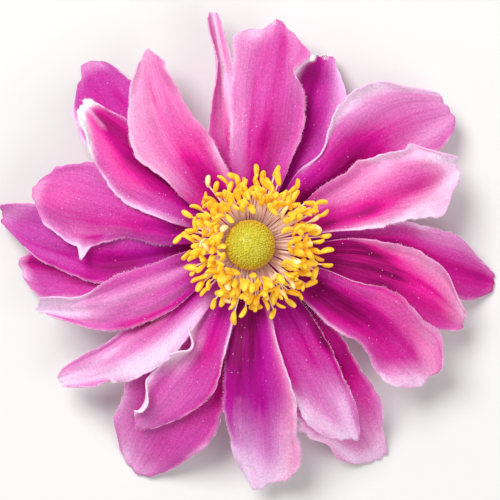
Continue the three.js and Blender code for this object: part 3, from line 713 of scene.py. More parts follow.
def opaque(colour):
    """A colour with an alpha of 1, or a wire as it is."""
    if isinstance(colour, Wire):
        return colour
    return (*colour[:3], 1.0)


def tinted(colour, factor, lift=0.0):
    """A colour made lighter or darker, up to white."""
    return [min(1.0, channel * factor + lift) for channel in colour]


def grow(piece, tree, inputs):
    """Runs a tree on a piece and keeps the result as its plain mesh."""
    modifier = piece.modifiers.new(tree.name, "NODES")
    modifier.node_group = tree
    for item in tree.interface.items_tree:
        if item.item_type == "SOCKET" and item.in_out == "INPUT" and item.name in inputs:
            modifier[item.identifier] = inputs[item.name]
    graph = bpy.context.evaluated_depsgraph_get()
    grown = piece.evaluated_get(graph)
    mesh = bpy.data.meshes.new_from_object(grown, preserve_all_data_layers=True, depsgraph=graph)
    piece.modifiers.remove(modifier)
    piece.data = mesh
    mesh.shade_smooth()


def mesh_piece(name, points, faces=(), edges=()):
    """A new object from points in millimetres from the axis."""
    mesh = bpy.data.meshes.new(name)
    placed = np.asarray(points, float) * MM + np.array([AXIS.x, AXIS.y, 0.0])
    mesh.from_pydata(placed.tolist(), edges, faces)
    mesh.shade_smooth()
    piece = bpy.data.objects.new(name, mesh)
    bpy.context.scene.collection.objects.link(piece)
    return piece


def keep_numbers(mesh, name, kind, values):
    """Stores values on a mesh's points, as a named attribute."""
    field = {"FLOAT": "value", "FLOAT_VECTOR": "vector", "FLOAT_COLOR": "color"}[kind]
    attribute = mesh.attributes.new(name, kind, "POINT")
    attribute.data.foreach_set(field, np.asarray(values, np.float32).ravel())


def smoothstep(x, low, high):
    t = np.clip((x - low) / (high - low), 0, 1)
    return t * t * (3 - 2 * t)


def bell(x, middle, spread, power=2):
    """1 in the middle, and falling away to both sides."""
    return np.exp(-(((x - middle) / spread) ** power))


def waves(number, phase=0.0):
    """A sine of whole turns."""
    return np.sin(2 * math.pi * number + phase)


def unit(vectors):
    return vectors / np.linalg.norm(vectors, axis=-1, keepdims=True)


def turns(sides):
    return np.linspace(0, 2 * math.pi, sides, endpoint=False)


def rings_around(radius, height, turn):
    """Rings of points about the axis, from each ring's or each point's radius and height."""
    radius, height, turn = np.broadcast_arrays(radius, height, turn)
    return np.stack([radius * np.cos(turn), radius * np.sin(turn), height], -1)


def closed_rings(rings, low, high):
    """Points and faces of a closed body: rings one above another, with a pole below and one above."""
    rows, sides = rings.shape[:2]
    index = np.arange(rows * sides).reshape(rows, sides)
    after = np.roll(index, -1, axis=1)
    foot, top = rows * sides, rows * sides + 1
    faces = np.stack([index[:-1], after[:-1], after[1:], index[1:]], -1).reshape(-1, 4).tolist()
    faces += [[foot, after[0, i], index[0, i]] for i in range(sides)]
    faces += [[top, index[-1, i], after[-1, i]] for i in range(sides)]
    return np.concatenate([rings.reshape(-1, 3), [low, high]]), faces


def soft_max(a, b):
    near = np.maximum(0, SOFTENING - np.abs(a - b))
    return np.maximum(a, b) + near * near / (4 * SOFTENING)


def half_width(tepal, s):
    foot = CLAW_WIDTH / 2
    full = tepal["width"] / 2
    growing = np.sin(math.pi / 2 * np.minimum(1, s / tepal["widest"])) ** tepal["swell"]
    beyond = np.maximum(0, (s - tepal["widest"]) / (1 - tepal["widest"]))
    shrinking = 1 - (1 - tepal["tip"]) * beyond ** tepal["taper"]
    return np.where(s < tepal["widest"], foot + (full - foot) * growing, full * shrinking)


def margin_wave(tepal, s, v):
    return waves(WAVES_ALONG * s + 0.37 * tepal["number"], 1.9 * v)


def plan_point(tepal, s, v):
    """A place on a tepal seen from above: s runs from claw to tip, v from right to left."""
    u = CLAW_RADIUS + (tepal["length"] - CLAW_RADIUS) * s - tepal["round"] * v * v * s**3
    wave = 1 + EDGE_WAVE * smoothstep(s, 0.15, 0.4) * margin_wave(tepal, s, v)
    t = tepal["bow"] * np.sin(math.pi * s**1.3) + v * half_width(tepal, s) * wave
    return turned(tepal, u, t)


def turned(tepal, outward, left):
    """A step outward and to the left of a tepal, as x and y."""
    angle = math.radians(tepal["angle"])
    return (
        outward * math.cos(angle) - left * math.sin(angle),
        outward * math.sin(angle) + left * math.cos(angle),
    )


def free_height(tepal, s, v):
    """The height of a tepal where nothing lies under it."""
    arch, fall = tepal["arch"], tepal["fall"]
    midline = (4 * arch - fall) * s + (2 * fall - 4 * arch) * s * s
    opening = smoothstep(s, 0, 0.35)
    margin = smoothstep(s, 0.25, 0.6) * (1 - 0.5 * smoothstep(s, 0.85, 1))
    left = np.maximum(0, (v - 0.6) / 0.4) ** 1.5
    right = np.maximum(0, (-v - 0.6) / 0.4) ** 1.5
    fold = tepal["cup"] * v * v + tepal["crease"] * (np.sqrt(v * v + 0.02) - 0.14)
    return (
        CLAW_HEIGHT + midline
        + opening * (fold + tepal["roll"] * v)
        + margin * EDGE_RUFFLE * v * v * margin_wave(tepal, s + 0.15, -v)
        + margin * (tepal["curl_left"] * left + tepal["curl_right"] * right)
    )


def clear_height(below, x, y, pitch):
    """How high a piece has to be at each place, to clear what lies below it."""
    height = np.full(x.shape, FRAME_THICKNESS / 2)
    if len(below):
        reach = DRAPE_REACH + DRAPE_REACH_OUTWARD * np.hypot(x, y)
        away = np.hypot(x[..., None] - below[:, 0], y[..., None] - below[:, 1])
        away = np.maximum(0, away - reach[..., None])
        height = np.maximum(height, (below[:, 2] + pitch - DRAPE_SLOPE * away).max(-1))
    return height


def surface_points(rows, parts=4):
    """Points spread over a grid of points, between its lines too."""
    shares = np.linspace(0, 1, parts + 1)
    found = []
    for a in shares:
        lengthwise = rows[:-1] * (1 - a) + rows[1:] * a
        for b in shares:
            found.append((lengthwise[:, :-1] * (1 - b) + lengthwise[:, 1:] * b).reshape(-1, 3))
    return np.concatenate(found)


def through(knots, values, places):
    """A smooth line through values at knots, read at other places, along the first axis."""
    steps = np.diff(knots)
    slopes = np.diff(values, axis=0) / steps[:, None]
    inner = (slopes[:-1] * steps[1:, None] + slopes[1:] * steps[:-1, None])
    inner = inner / (steps[1:] + steps[:-1])[:, None]
    tangents = np.concatenate([slopes[:1], inner, slopes[-1:]])
    at = np.clip(np.searchsorted(knots, places) - 1, 0, len(steps) - 1)
    h = steps[at][:, None]
    t = ((places - knots[at]) / steps[at])[:, None]
    return (
        values[at] * (2 * t**3 - 3 * t**2 + 1) + tangents[at] * h * (t**3 - 2 * t**2 + t)
        + values[at + 1] * (3 * t**2 - 2 * t**3) + tangents[at + 1] * h * (t**3 - t**2)
    )


def lay_tepals():
    """Lays the tepals on each other as in the frame: how far each is lifted, and all their places."""
    below = np.zeros((0, 3))
    laid = []
    s, v = np.meshgrid(ALONG, ACROSS, indexing="ij")
    for row in SHAPES:
        tepal = dict(zip(SHAPE_COLUMNS, row))
        x, y = plan_point(tepal, s, v)
        free = free_height(tepal, s, v)
        height = soft_max(free, clear_height(below, x, y, LAYER_PITCH))
        laid.append((tepal, height - free))
        below = np.concatenate([below, surface_points(np.stack([x, y, height], -1))])
    return laid, below


LAID, BELOW = lay_tepals()


def fine_relief(tepal, s, v, sizes):
    """Furrows along the veins, broad folds and crumpled margins, as a height in millimetres."""
    seed = tepal["number"] * 1.7
    veins = waves(VEINS_ACROSS * v + 0.4 * np.sin(3 * s + seed))
    veins = veins + 0.5 * waves(FINE_VEINS_ACROSS * v + 0.3 * np.sin(5 * s + seed) + 0.3 * seed)
    folds = waves(FOLDS_ACROSS * v + 0.23 * seed + 0.25 * np.sin(4 * s + seed))
    crumple = waves(CRUMPLES_ALONG * s + seed, 2.2 * v) * np.abs(v) ** 3
    crumple = crumple + 0.6 * waves(FINE_CRUMPLES_ALONG * s + 2.1 * seed) * np.abs(v) ** 7
    body = smoothstep(s, 0.1, 0.35) * (1 - 0.6 * smoothstep(s, 0.8, 1)) * (1 - v**6)
    furrows = sizes.vein_depth / MM * veins + sizes.fold_depth / MM * folds
    return body * furrows + CRUMPLE_HEIGHT * smoothstep(s, 0.3, 0.6) * crumple


def rolled(tepal, s, v):
    """Where across a margin's roll ends up, as a share of the half width, and how high it rises."""
    across, rise = v.copy(), np.zeros(s.shape)
    for place, side, spread, begin, turn in ROLLS.get(tepal["number"], ()):
        angle = math.radians(turn) * bell(s, place, spread, power=4) + 0.001
        length = (1 - begin) / angle
        share = np.clip((v * side - begin) / (1 - begin), 0, None)
        moved = begin + length * np.sin(share * angle)
        across = np.where(v * side > begin, moved * side, across)
        rise = rise + length * (1 - np.cos(share * angle)) * half_width(tepal, s)
    return across, rise


def petal_surface(tepal, lift, sizes, columns=COLUMNS):
    """The middle surface of a petal as a fine grid: places, and the s and v of each."""
    s_line = np.linspace(0, 1, ROWS)
    v_line = np.sin(np.linspace(-1, 1, columns) * CROWDING) / math.sin(CROWDING)
    s, v = np.meshgrid(s_line, v_line, indexing="ij")
    number = tepal["number"]
    seed = number * 2.3
    across, rise = rolled(tepal, s, v)
    frill = FRILL_SHARE * waves(FRILLS_ALONG * s, seed)
    frill = frill + FINE_FRILL_SHARE * waves(FINE_FRILLS_ALONG * s, 2 * seed)
    x, y = plan_point(tepal, s, across * (1 + frill * smoothstep(s, 0.3, 0.5) * np.abs(v) ** 3))
    left = SWAYS.get(number, 0) * s**5
    for table, sharpness in ((NUDGES, NUDGE_SHARPNESS), (FLAPS, FLAP_SHARPNESS)):
        for place, side, amount, spread in table.get(number, ()):
            nearness = bell(s, place, spread) * np.maximum(0, v * side) ** sharpness
            left = left + side * amount * nearness
    end = TIP_WAVE * np.sin(5.5 * v + seed) + FINE_TIP_WAVE * np.sin(13 * v + 2 * seed)
    for place, amount, spread in TIPS.get(number, ()):
        end = end + amount * bell(v, place, spread)
    moved_x, moved_y = turned(tepal, end * s**10, left)
    lifted = through(ACROSS, through(ALONG, lift, s_line).T, v_line).T
    z = free_height(tepal, s, v) + lifted + rise + fine_relief(tepal, s, v, sizes)
    return np.stack([x + moved_x, y + moved_y, z], -1), s, v


def grid_normals(grid):
    """The direction square to a grid of points, at each of them."""
    return unit(np.cross(np.gradient(grid, axis=0), np.gradient(grid, axis=1)))


def blade_faces(rows, columns):
    """The faces of a closed blade: its upper grid, its lower grid and the rim between them."""
    index = np.arange(rows * columns).reshape(rows, columns)
    upper = np.stack([index[:-1, :-1], index[1:, :-1], index[1:, 1:], index[:-1, 1:]], -1).reshape(-1, 4)
    lower = upper[:, ::-1] + rows * columns
    loop = np.concatenate([index[:, 0], index[-1, 1:], index[-2::-1, -1], index[0, -2:0:-1]])
    after = np.roll(loop, -1)
    rim = np.stack([loop, loop + rows * columns, after + rows * columns, after], -1)
    return np.concatenate([upper, lower, rim]).tolist()


def washed(washes, s, v):
    """The sum of soft washes of colour at each place of a petal."""
    total = np.zeros(s.shape)
    for s0, v0, s1, v1, width, strength in washes:
        run, cross = (s1 - s0) * ALONG_SHARE, v1 - v0
        along, across = (s - s0) * ALONG_SHARE, v - v0
        share = np.clip((along * run + across * cross) / (run * run + cross * cross), 0, 1)
        away = ((along - share * run) ** 2 + (across - share * cross) ** 2) / width**2
        total = total + strength * np.exp(-away)
    return total


def petal_look(number, s, v):
    """How deep, how pale, how warm and how woolly each place of a petal is, with painted shade in the depth
    and painted light in the paleness.
    """
    foot = FOOT_DEPTH_AND_SHADE * (1 - smoothstep(s, 0.08, 0.38))
    deep = washed(DEEP_AND_SHADE_WASHES[number], s, v) + foot
    rim = RIM_PALENESS * smoothstep(np.abs(v), 0.84, 1.0) + TIP_PALENESS * smoothstep(s, 0.9, 1.0)
    pale = washed(PALE_AND_LIT_WASHES[number], s, v) + rim * smoothstep(s, 0.2, 0.45)
    cool_foot = FOOT_COOLNESS * (1 - smoothstep(s, 0.15, 0.5))
    tone = TONES[number] + washed(WARM_WASHES.get(number, ()), s, v) - cool_foot
    wool = washed(WOOL_WASHES.get(number, ()), s, v)
    most = (STRONGEST_WASH, STRONGEST_WASH, 1, 1)
    return np.stack([np.clip(look, 0, end) for look, end in zip((deep, pale, tone, wool), most)], -1)


def petal_finish(colours):
    """Satin petal: magenta channels with painted shade, pale margins with painted light, fine lengthwise
    veins, painted glints and glow, and a silky underside.
    """
    made = Finish("petal", roughness=0.52, sheen=0.04, subsurface=0.12, depth=0.9 * MM)
    made.feed("Subsurface Radius", (1.0, 0.25, 0.45))
    made.feed("Sheen Tint", (1.0, 0.85, 0.95, 1.0))
    made.feed("Specular IOR Level", 0.09)
    look = made.node("ShaderNodeAttribute", {"attribute_name": "look"})
    parts = made.node("ShaderNodeSeparateColor", {}, {"Color": look})
    deep, pale, tone = (Wire(made, socket) for socket in parts.socket.node.outputs)
    wool = Wire(made, look.socket.node.outputs["Alpha"])

    # Patterns: broad and fine streaks, thin veins, a fine grain, and silky hairs as pale specks with
    # painted glints of light
    flat = made.node("ShaderNodeUVMap", {"uv_map": "petal"})
    broad = made.stretched_noise(flat, (2.6, 8.0, 1.0))
    fine = made.stretched_noise(flat, (7.0, 75.0, 1.0), roughness=0.6)
    ridge = made.stretched_noise(flat, (1.6, 26.0, 1.0), detail=2.0) * 2 - 1
    vein = (1 - ridge.math("ABSOLUTE", ridge)) ** 16.0
    place = made.place()
    grain = made.noise(place, 3200.0, 3.0, 0.75)
    hair_specks_and_glints = made.noise(place, 5600.0, 2.0, 0.6).risen(0.5, 0.8)
    streaks = (broad - 0.5) * 0.8 + (fine - 0.5) * 0.5

    # Ground colour and the deep channels, whose darkness is partly the petal's own colour and partly
    # painted shade
    deepness_and_shade = deep * (1 + streaks)
    middle = made.colour_mix(tone, colours.petal_violet, colours.petal_pink)
    channel = made.colour_mix((tone * 2.5).clamped(), colours.petal_deep_violet, colours.petal_deep)
    channel = made.colour_mix(tone.risen(0.6, 1.0), channel, colours.petal_vivid)
    colour = made.colour_mix(deepness_and_shade.clamped(), middle, channel)
    colour = made.colour_mix((deepness_and_shade - 0.95).clamped() * 1.1, colour, colours.petal_foot_and_shade)

    # Pale margins with painted light, veins, silky hairs as pale specks with painted glints, the underside
    # and wool
    paleness_and_light = pale * (1 - streaks * 0.7) - deepness_and_shade * 0.25
    margin = made.colour_mix(tone, colours.petal_pale, colours.petal_pale_warm)
    colour = made.colour_mix((paleness_and_light * 0.85).clamped(), colour, margin)
    colour = made.colour_mix((paleness_and_light - 0.85).clamped() * 0.9, colour, colours.petal_white)
    colour = made.colour_mix(vein * (0.5 - pale * 0.38).clamped(), colour, channel)
    # Pale specks of silky hairs, partly painted glints of light, fewer where the petal is deep
    colour = made.colour_mix(hair_specks_and_glints * (1.3 - deepness_and_shade).clamped() * 0.34, colour, margin)
    colour = made.colour_mix(made.attribute("under") * 0.75, colour, colours.petal_under)
    colour = made.colour_mix(wool, colour, colours.wool)
    colour = made.shaded(colour, 0.46 + grain * 0.90)
    made.feed("Base Color", colour)
    # Painted light: the petals glow a little, more where they are pale, for the light that passes through
    # them into their shade
    made.glow(made.shaded(colour, paleness_and_light.clamped() + 1), 0.1)
    made.feed("Roughness", 0.44 + grain * 0.2)
    made.bump(vein * -0.4 + fine * 0.35 + grain * 0.3, 0.06 * MM, 0.6)
    return made.material


def add_petal(tepal, lift, sizes, material):
    """One petal, which stands for its tepal of the frame."""
    number = tepal["number"]
    grid, s, v = petal_surface(tepal, lift, sizes)
    thickness = sizes.thickness / MM * (1 - 0.5 * np.maximum(np.abs(v), s) ** 6)
    offset = grid_normals(grid) * (thickness / 2)[..., None]
    points = np.concatenate([(grid + offset).reshape(-1, 3), (grid - offset).reshape(-1, 3)])
    points = np.clip(points, FRAME_LOW, FRAME_HIGH)
    piece = mesh_piece(f"petal_{number:02d}", points, blade_faces(ROWS, COLUMNS))
    mesh = piece.data
    look = petal_look(number, s, v).reshape(-1, 4)
    keep_numbers(mesh, "look", "FLOAT_COLOR", np.concatenate([look, look]))
    keep_numbers(mesh, "under", "FLOAT", np.repeat([0, 1], s.size))
    corners = np.zeros(len(mesh.loops), np.int32)
    mesh.loops.foreach_get("vertex_index", corners)
    flat = np.stack([s.ravel() + number, v.ravel() / 2 + 0.5], -1)
    layer = mesh.uv_layers.new(name="petal")
    layer.data.foreach_set("uv", np.concatenate([flat, flat])[corners].astype(np.float32).ravel())
    mesh.materials.append(material)
    return piece


def bezier(start, bend, end, count):
    t = np.linspace(0, 1, count)[:, None]
    return start * (1 - t) ** 2 + bend * 2 * t * (1 - t) + end * t**2


def stray(random, most):
    return random.uniform(-most, most)


def stamen_lines(count):
    """The line of each filament: the inner ones stand, and the outer ones spread and lie low."""
    random = np.random.default_rng(SEEDS["stamens"])
    lines = []
    for i in range(count):
        share = (i + 0.5) / count
        angle = GOLDEN_ANGLE * i + stray(random, FOOT_STRAY)
        reach = np.interp(share, REACH_SHARES, REACHES) + stray(random, REACH_STRAY)
        reach += LEAN * math.cos(angle - LEAN_SIDE)
        rise = INNER_RISE - (INNER_RISE - OUTER_RISE) * share + stray(random, RISE_STRAY)
        end_angle = angle + stray(random, END_STRAY)
        places = [
            (FILAMENT_START, angle, RING_FOOT + START_HEIGHT),
            (BEND_START + BEND_REACH * reach, angle, RING_FOOT + BEND_HEIGHT + rise * BEND_RISE),
            (reach, end_angle, RING_FOOT + END_HEIGHT + rise),
        ]
        points = np.array([[r * math.cos(a), r * math.sin(a), z] for r, a, z in places])
        free = points[1:]
        free[:, 2] = np.maximum(free[:, 2], clear_height(BELOW, free[:, 0], free[:, 1], PETAL_CLEARANCE))
        out = np.hypot(free[:, 0], free[:, 1])
        near = np.sqrt(np.maximum(0, (BALL_RADIUS + BALL_CLEARANCE) ** 2 - (free[:, 2] - BALL_CENTRE) ** 2))
        free[:, :2] *= (np.maximum(out, near) / out)[:, None]
        foot = random.uniform(*FILAMENT_FOOT) * np.array([[math.cos(angle), math.sin(angle)]])
        low = clear_height(BELOW, foot[:, 0], foot[:, 1], FOOT_CLEARANCE)
        foot = np.column_stack([foot, np.minimum(low, RING_FOOT - FOOT_SINK)])
        lines.append(np.concatenate([foot, bezier(*points, FILAMENT_POINTS)]))
    return lines


def filament_finish(colours):
    """Silky filament, mauve at its foot and cream at its end, with a painted glow towards its end."""
    made = Finish("filament", roughness=0.45, subsurface=0.2, depth=0.3 * MM)
    along = made.attribute("along")
    speckle = made.noise(made.place(), 3200.0)
    colour = made.colour_mix(along.risen(0.15, 0.85), colours.filament_foot, colours.filament_end)
    made.feed("Base Color", made.colour_mix(speckle * 0.35, colour, colours.filament_foot))
    # Painted light: a glow that lifts the shade among the filaments, from none at the foot to full along
    # the rest
    made.glow(made.colour_mix(along.risen(0.15, 0.6), (0.0, 0.0, 0.0), colours.filament_foot), 0.11)
    made.bump(speckle, 0.02 * MM, 0.4)
    return made.material


def anther_finish(colours):
    """Powdery golden anther, with paler pollen, its own shade on each and a painted glow."""
    made = Finish("anther", roughness=0.48, sheen=0.10, subsurface=0.12, depth=0.5 * MM)
    own = made.attribute("own")
    place = made.place()
    pollen = made.noise(place, 5200.0, 3.0, 0.65)
    patches = made.noise(place, 900.0, 1.0)
    ripe = (own * 0.75 + (patches - 0.5) * 0.9).clamped()
    colour = made.colour_mix(ripe, colours.anther, colours.anther_pale)
    orange = [colours.anther[0] * 0.92, colours.anther[1] * 0.62, colours.anther[2]]
    colour = made.colour_mix(pollen.risen(0.5, 0.75) * 0.35, colour, orange)
    colour = made.colour_mix(own.risen(0.955, 0.965) * 0.55, colour, colours.filament_end)
    made.feed("Base Color", colour)
    # Painted light: a faint golden glow, as if strongly lit
    made.glow(colours.anther, 0.1)
    made.bump(pollen, 0.05 * MM, 0.8)
    return made.material


def filament_tree(material):
    """Gives each line of a mesh a round section, thinner towards its end."""
    made = Growth("filaments", {"Radius": "Float", "Sides": "Int"})
    lines = made.node("GeometryNodeMeshToCurve", {}, {"Mesh": made.given["Geometry"]})
    section = made.node(
        "GeometryNodeCurvePrimitiveCircle", {"mode": "RADIUS"},
        {"Resolution": made.given["Sides"], "Radius": made.given["Radius"]})
    slimmer = {"Curve": lines, "Radius": 1 - made.attribute("along") * FILAMENT_SLIMMING}
    sized = made.node("GeometryNodeSetCurveRadius", {}, slimmer)
    profile = {"Curve": sized, "Profile Curve": section, "Fill Caps": True}
    return made.end(made.node("GeometryNodeCurveToMesh", {}, profile), material)


def anther_tree(material, anther):
    """Sets a copy of the anther on each point, aimed along the point's own direction."""
    made = Growth("anthers", {"Size": "Float", "Spread": "Float", "Seed": "Int"})
    seed, spread = made.given["Seed"], made.given["Spread"]
    spin = made.vector(0.0, 0.0, made.random(0.0, 2 * math.pi, seed))
    aimed = made.upright(made.attribute("aim", "FLOAT_VECTOR"))
    spun = made.node(
        "FunctionNodeRotateRotation", {"rotation_space": "LOCAL"}, {"Rotation": aimed, "Rotate By": spin})
    shape = made.node("GeometryNodeObjectInfo", {}, {"Object": anther}, output="Geometry")
    size = made.random(1 - spread, 1 + spread, seed) * made.given["Size"]
    placed = made.copies(made.points(), shape, size, Rotation=spun)
    marked = made.node(
        "GeometryNodeStoreNamedAttribute", {"data_type": "FLOAT", "domain": "INSTANCE"},
        {"Geometry": placed, "Name": "own", "Value": made.random(0.0, 1.0, SEEDS["anther shades"])})
    return made.end(marked, material)


def anther_shape(sizes):
    """One anther: two plump lobes side by side, narrower at the foot, bent, with a furrow between."""
    turn = turns(ANTHER_SIDES)
    height = -np.cos(math.pi * np.arange(1, ANTHER_RINGS)[:, None] / ANTHER_RINGS)
    girth = np.sqrt(1 - height**2) ** ANTHER_BLUNTNESS * (1 + ANTHER_FULLNESS * height)
    furrow = 1 - FURROW_DEPTH * bell(np.sin(turn), 0, FURROW_WIDTH)
    x = girth * furrow * np.cos(turn) * ANTHER_THICKNESS + ANTHER_BEND * (height**2 - BEND_MIDDLE)
    y = girth * np.sin(turn)
    lobes = np.stack([x, y, np.broadcast_to(height, y.shape)], -1)
    points, faces = closed_rings(lobes, (0, 0, -1), (0, 0, 1))
    size = np.array([sizes.anther_width, sizes.anther_width, sizes.anther_length]) / 2
    mesh = bpy.data.meshes.new("anther_pattern")
    mesh.from_pydata((points * size).tolist(), [], faces)
    mesh.shade_smooth()
    return bpy.data.objects.new("anther_pattern", mesh)


def carpel_tree(material):
    """Spreads small domes evenly over a ball, each standing square to it."""
    made = Growth("carpels", {
        "Count": "Int", "Ball radius": "Float", "Centre": "Vector", "Dome radius": "Float", "Seed": "Int"})
    seed = made.given["Seed"]
    index = made.node("GeometryNodeInputIndex")
    height = 1 - (index * 2 + 1) / made.given["Count"]
    across = (1 - height * height).math("SQRT", 1 - height * height)
    turn = index * GOLDEN_ANGLE
    outward = made.vector(across * turn.math("COSINE", turn), across * turn.math("SINE", turn), height)
    stray = made.node(
        "FunctionNodeRandomValue", {"data_type": "FLOAT_VECTOR"},
        {0: (-DOME_LEAN,) * 3, 1: (DOME_LEAN,) * 3, "Seed": seed}, output=0)
    outward = made.vector_math("NORMALIZE", {0: made.vector_math("ADD", {0: outward, 1: stray})})
    reach = made.vector_math("SCALE", {0: outward, "Scale": made.given["Ball radius"]})
    place = made.vector_math("ADD", {0: reach, 1: made.given["Centre"]})
    points = made.node("GeometryNodePoints", {}, {"Count": made.given["Count"], "Position": place})
    ball = {"Radius": made.given["Dome radius"], "Subdivisions": 2}
    dome = made.node("GeometryNodeMeshIcoSphere", {}, ball)
    size = made.random(*DOME_SIZES, seed)
    stretch = made.vector(size, size, size * DOME_STRETCH)
    placed = made.copies(points, dome, stretch, Rotation=made.upright(outward))
    joined = made.node("GeometryNodeJoinGeometry", {}, {"Geometry": placed})
    made.tree.links.new(made.given["Geometry"].socket, joined.socket.node.inputs[0])
    return made.end(joined, material)


def carpel_finish(colours, centre, radius):
    """Moist yellow-green grain on the domes' tips, with painted shade between them and painted light on the
    top of the ball.
    """
    made = Finish("carpel", roughness=0.45, subsurface=0.2, depth=0.5 * MM, coat=0.05)
    place = made.place()
    from_centre = made.vector_math("DISTANCE", {0: place, 1: centre}, output="Value")
    tip = from_centre.risen(radius + 0.02 * MM, radius + 0.22 * MM)
    mottle = made.noise(place, 1500.0, 3.0)
    # Towards the top of the ball the colour turns from gold to yellow-green, partly its own colour and
    # partly painted light from above
    crown = (made.height(place) - centre.z).risen(radius * 0.25, radius * 0.95)
    lit = made.colour_mix(crown, colours.carpel_rim, colours.carpel)
    # Painted shade between the domes, which fades towards the top of the ball
    colour = made.colour_mix(tip * (0.75 - crown * 0.35) + crown * 0.35 + 0.25, colours.carpel_gap_shade, lit)
    # Painted highlight: lighter mottles on the top of the ball
    light = tinted(colours.carpel, 1.22, 0.03)
    made.feed("Base Color", made.colour_mix(mottle.risen(0.45, 0.75) * crown * 0.6, colour, light))
    made.bump(mottle, 0.03 * MM, 0.3)
    return made.material


def stem_finish(colours):
    """Matt green stalk with fine lengthwise ribs, paler on the receptacle."""
    made = Finish("stalk", roughness=0.65, sheen=0.3)
    place = made.place()
    ribs = made.stretched_noise(place, (9.0, 9.0, 1.0), base=260.0, detail=2.0)
    mottle = made.noise(place, 700.0, 3.0)
    pale = tinted(colours.stem, 1.6, 0.05)
    colour = made.colour_mix(made.height(place).risen(4 * MM, 7 * MM), colours.stem, pale)
    colour = made.colour_mix(ribs.risen(0.5, 0.8) * 0.5, colour, tinted(colours.stem, 0.55))
    made.feed("Base Color", made.colour_mix(mottle.risen(0.55, 0.8) * 0.35, colour, colours.stem_blush))
    made.bump(ribs * 0.7 + mottle * 0.3, 0.08 * MM, 0.6)
    return made.material


def hair_finish(name, colour):
    """Silky hair, with a painted glow."""
    made = Finish(name, roughness=0.35, sheen=0.2, subsurface=0.1, depth=0.1 * MM)
    tint = made.noise(made.place(), 400.0, 1.0)
    made.feed("Base Color", made.colour_mix(tint, colour, tinted(colour, 0.9)))
    # Painted light: the hairs glow, so that they stay white in shade
    made.glow(colour, 0.4)
    return made.material


def hair_tree(material):
    """Sets a thin three-sided hair on each point, aimed along the point's own direction."""
    made = Growth("hairs", {"Length": "Float", "Radius": "Float", "Seed": "Int"})
    hair = made.node("GeometryNodeMeshCone", {"fill_type": "TRIANGLE_FAN"}, {
        "Vertices": 3, "Radius Top": 0.0, "Radius Bottom": made.given["Radius"],
        "Depth": made.given["Length"]})
    stretch = made.vector(1.0, 1.0, made.random(*HAIR_LENGTHS, made.given["Seed"]))
    aimed = made.upright(made.attribute("aim", "FLOAT_VECTOR"))
    return made.end(made.copies(made.points(), hair, stretch, Rotation=aimed), material)


def add_hair_piece(name, places, aims, length, radius, colour):
    """Hairs as one piece: where each stands in millimetres, and the way it points."""
    aims = unit(aims)
    tips = places + aims * length / MM * HAIR_REACH
    kept = ((tips > FRAME_LOW + BOX_MARGIN) & (tips < FRAME_HIGH - BOX_MARGIN)).all(1)
    piece = mesh_piece(name, places[kept] - aims[kept] * HAIR_SINK)
    keep_numbers(piece.data, "aim", "FLOAT_VECTOR", aims[kept])
    grow(piece, hair_tree(hair_finish(name, colour)), {
        "Length": length, "Radius": radius, "Seed": SEEDS["hair lengths"]})
    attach(piece, "root")


def margin_line(values, column=0, row=-1):
    """Values along a petal's outline: out on one side, round the tip and back on the other."""
    return np.concatenate([
        values[HAIR_ROW:, column], values[row, 1:-1], values[:HAIR_ROW - 1:-1, -1 - column]])


def margin_points(tepal, lift, sizes, random):
    """Places along a petal's margins for its hairs, and the way each hair points."""
    grid = petal_surface(tepal, lift, sizes, HAIR_COLUMNS)[0]
    outline = margin_line(grid)
    length = np.concatenate([[0], np.cumsum(np.linalg.norm(np.diff(outline, axis=0), axis=1))])
    count = int(length[-1] / (sizes.hair_spacing / MM))
    at = np.sort(random.uniform(0, length[-1], count))
    place, root, up = (
        np.stack([np.interp(at, length, values[:, k]) for k in range(3)], -1)
        for values in (outline, margin_line(grid, column=1, row=-3), margin_line(grid_normals(grid))))
    outward = unit(place - root)
    aim = outward + up * random.uniform(*HAIR_LIFTS, (count, 1)) + random.normal(0, HAIR_STRAY, (count, 3))
    return place, aim


def tuft_points(tuft, sizes, random):
    """Places on a petal's tip for the hairs of a tuft, and the way each points."""
    number, along, across, spread, count = tuft
    tepal, lift = next(laid for laid in LAID if laid[0]["number"] == number)
    grid, s, v = petal_surface(tepal, lift, sizes)
    nearest = np.argmin((s - along) ** 2 * ALONG_SHARE**2 + (v - across) ** 2)
    flat = grid.reshape(-1, 3)
    near = flat[np.linalg.norm(flat - flat[nearest], axis=1) < spread]
    places = near[random.integers(0, len(near), count)] + [0, 0, sizes.thickness / MM / 2]
    places = places + random.normal(0, TUFT_SCATTER, (count, 3)) * [1, 1, 0.3]
    outward = np.array([*turned(tepal, 1, 0), TUFT_LIFT])
    return places, outward * TUFT_AIM + random.normal(0, TUFT_STRAY, (count, 3)) * FLATTENED


def droplet_tree(material):
    """Sets a small bead on each point, of its own size."""
    made = Growth("droplets", {"Radius": "Float", "Seed": "Int"})
    bead = made.node(
        "GeometryNodeMeshIcoSphere", {}, {"Radius": made.given["Radius"], "Subdivisions": 2})
    size = made.random(*DROPLET_SIZES, made.given["Seed"])
    return made.end(made.copies(made.points(), bead, size), material)


def droplet_finish(colours):
    """Fine bright beads of dew and pollen."""
    made = Finish("dew", roughness=0.15, coat=0.5)
    tint = made.noise(made.place(), 900.0, 1.0)
    made.feed("Base Color", made.colour_mix(tint, colours.dew, colours.dew_bright))
    return made.material


class BLOOM_OT_petals(bpy.types.Operator):
    """Adds the 21 petals, each a thin closed blade with veins, folds and crumpled margins"""

    bl_idname = "bloom.add_petals"
    bl_label = "Add petals"

    def execute(self, context):
        sizes = context.scene.bloom_sizes
        material = petal_finish(context.scene.bloom_colours)
        for tepal, lift in LAID:
            piece = add_petal(tepal, lift, sizes, material)
            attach(piece, "root")
            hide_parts(f"tepal_{tepal['number']:02d}")
        return {"FINISHED"}


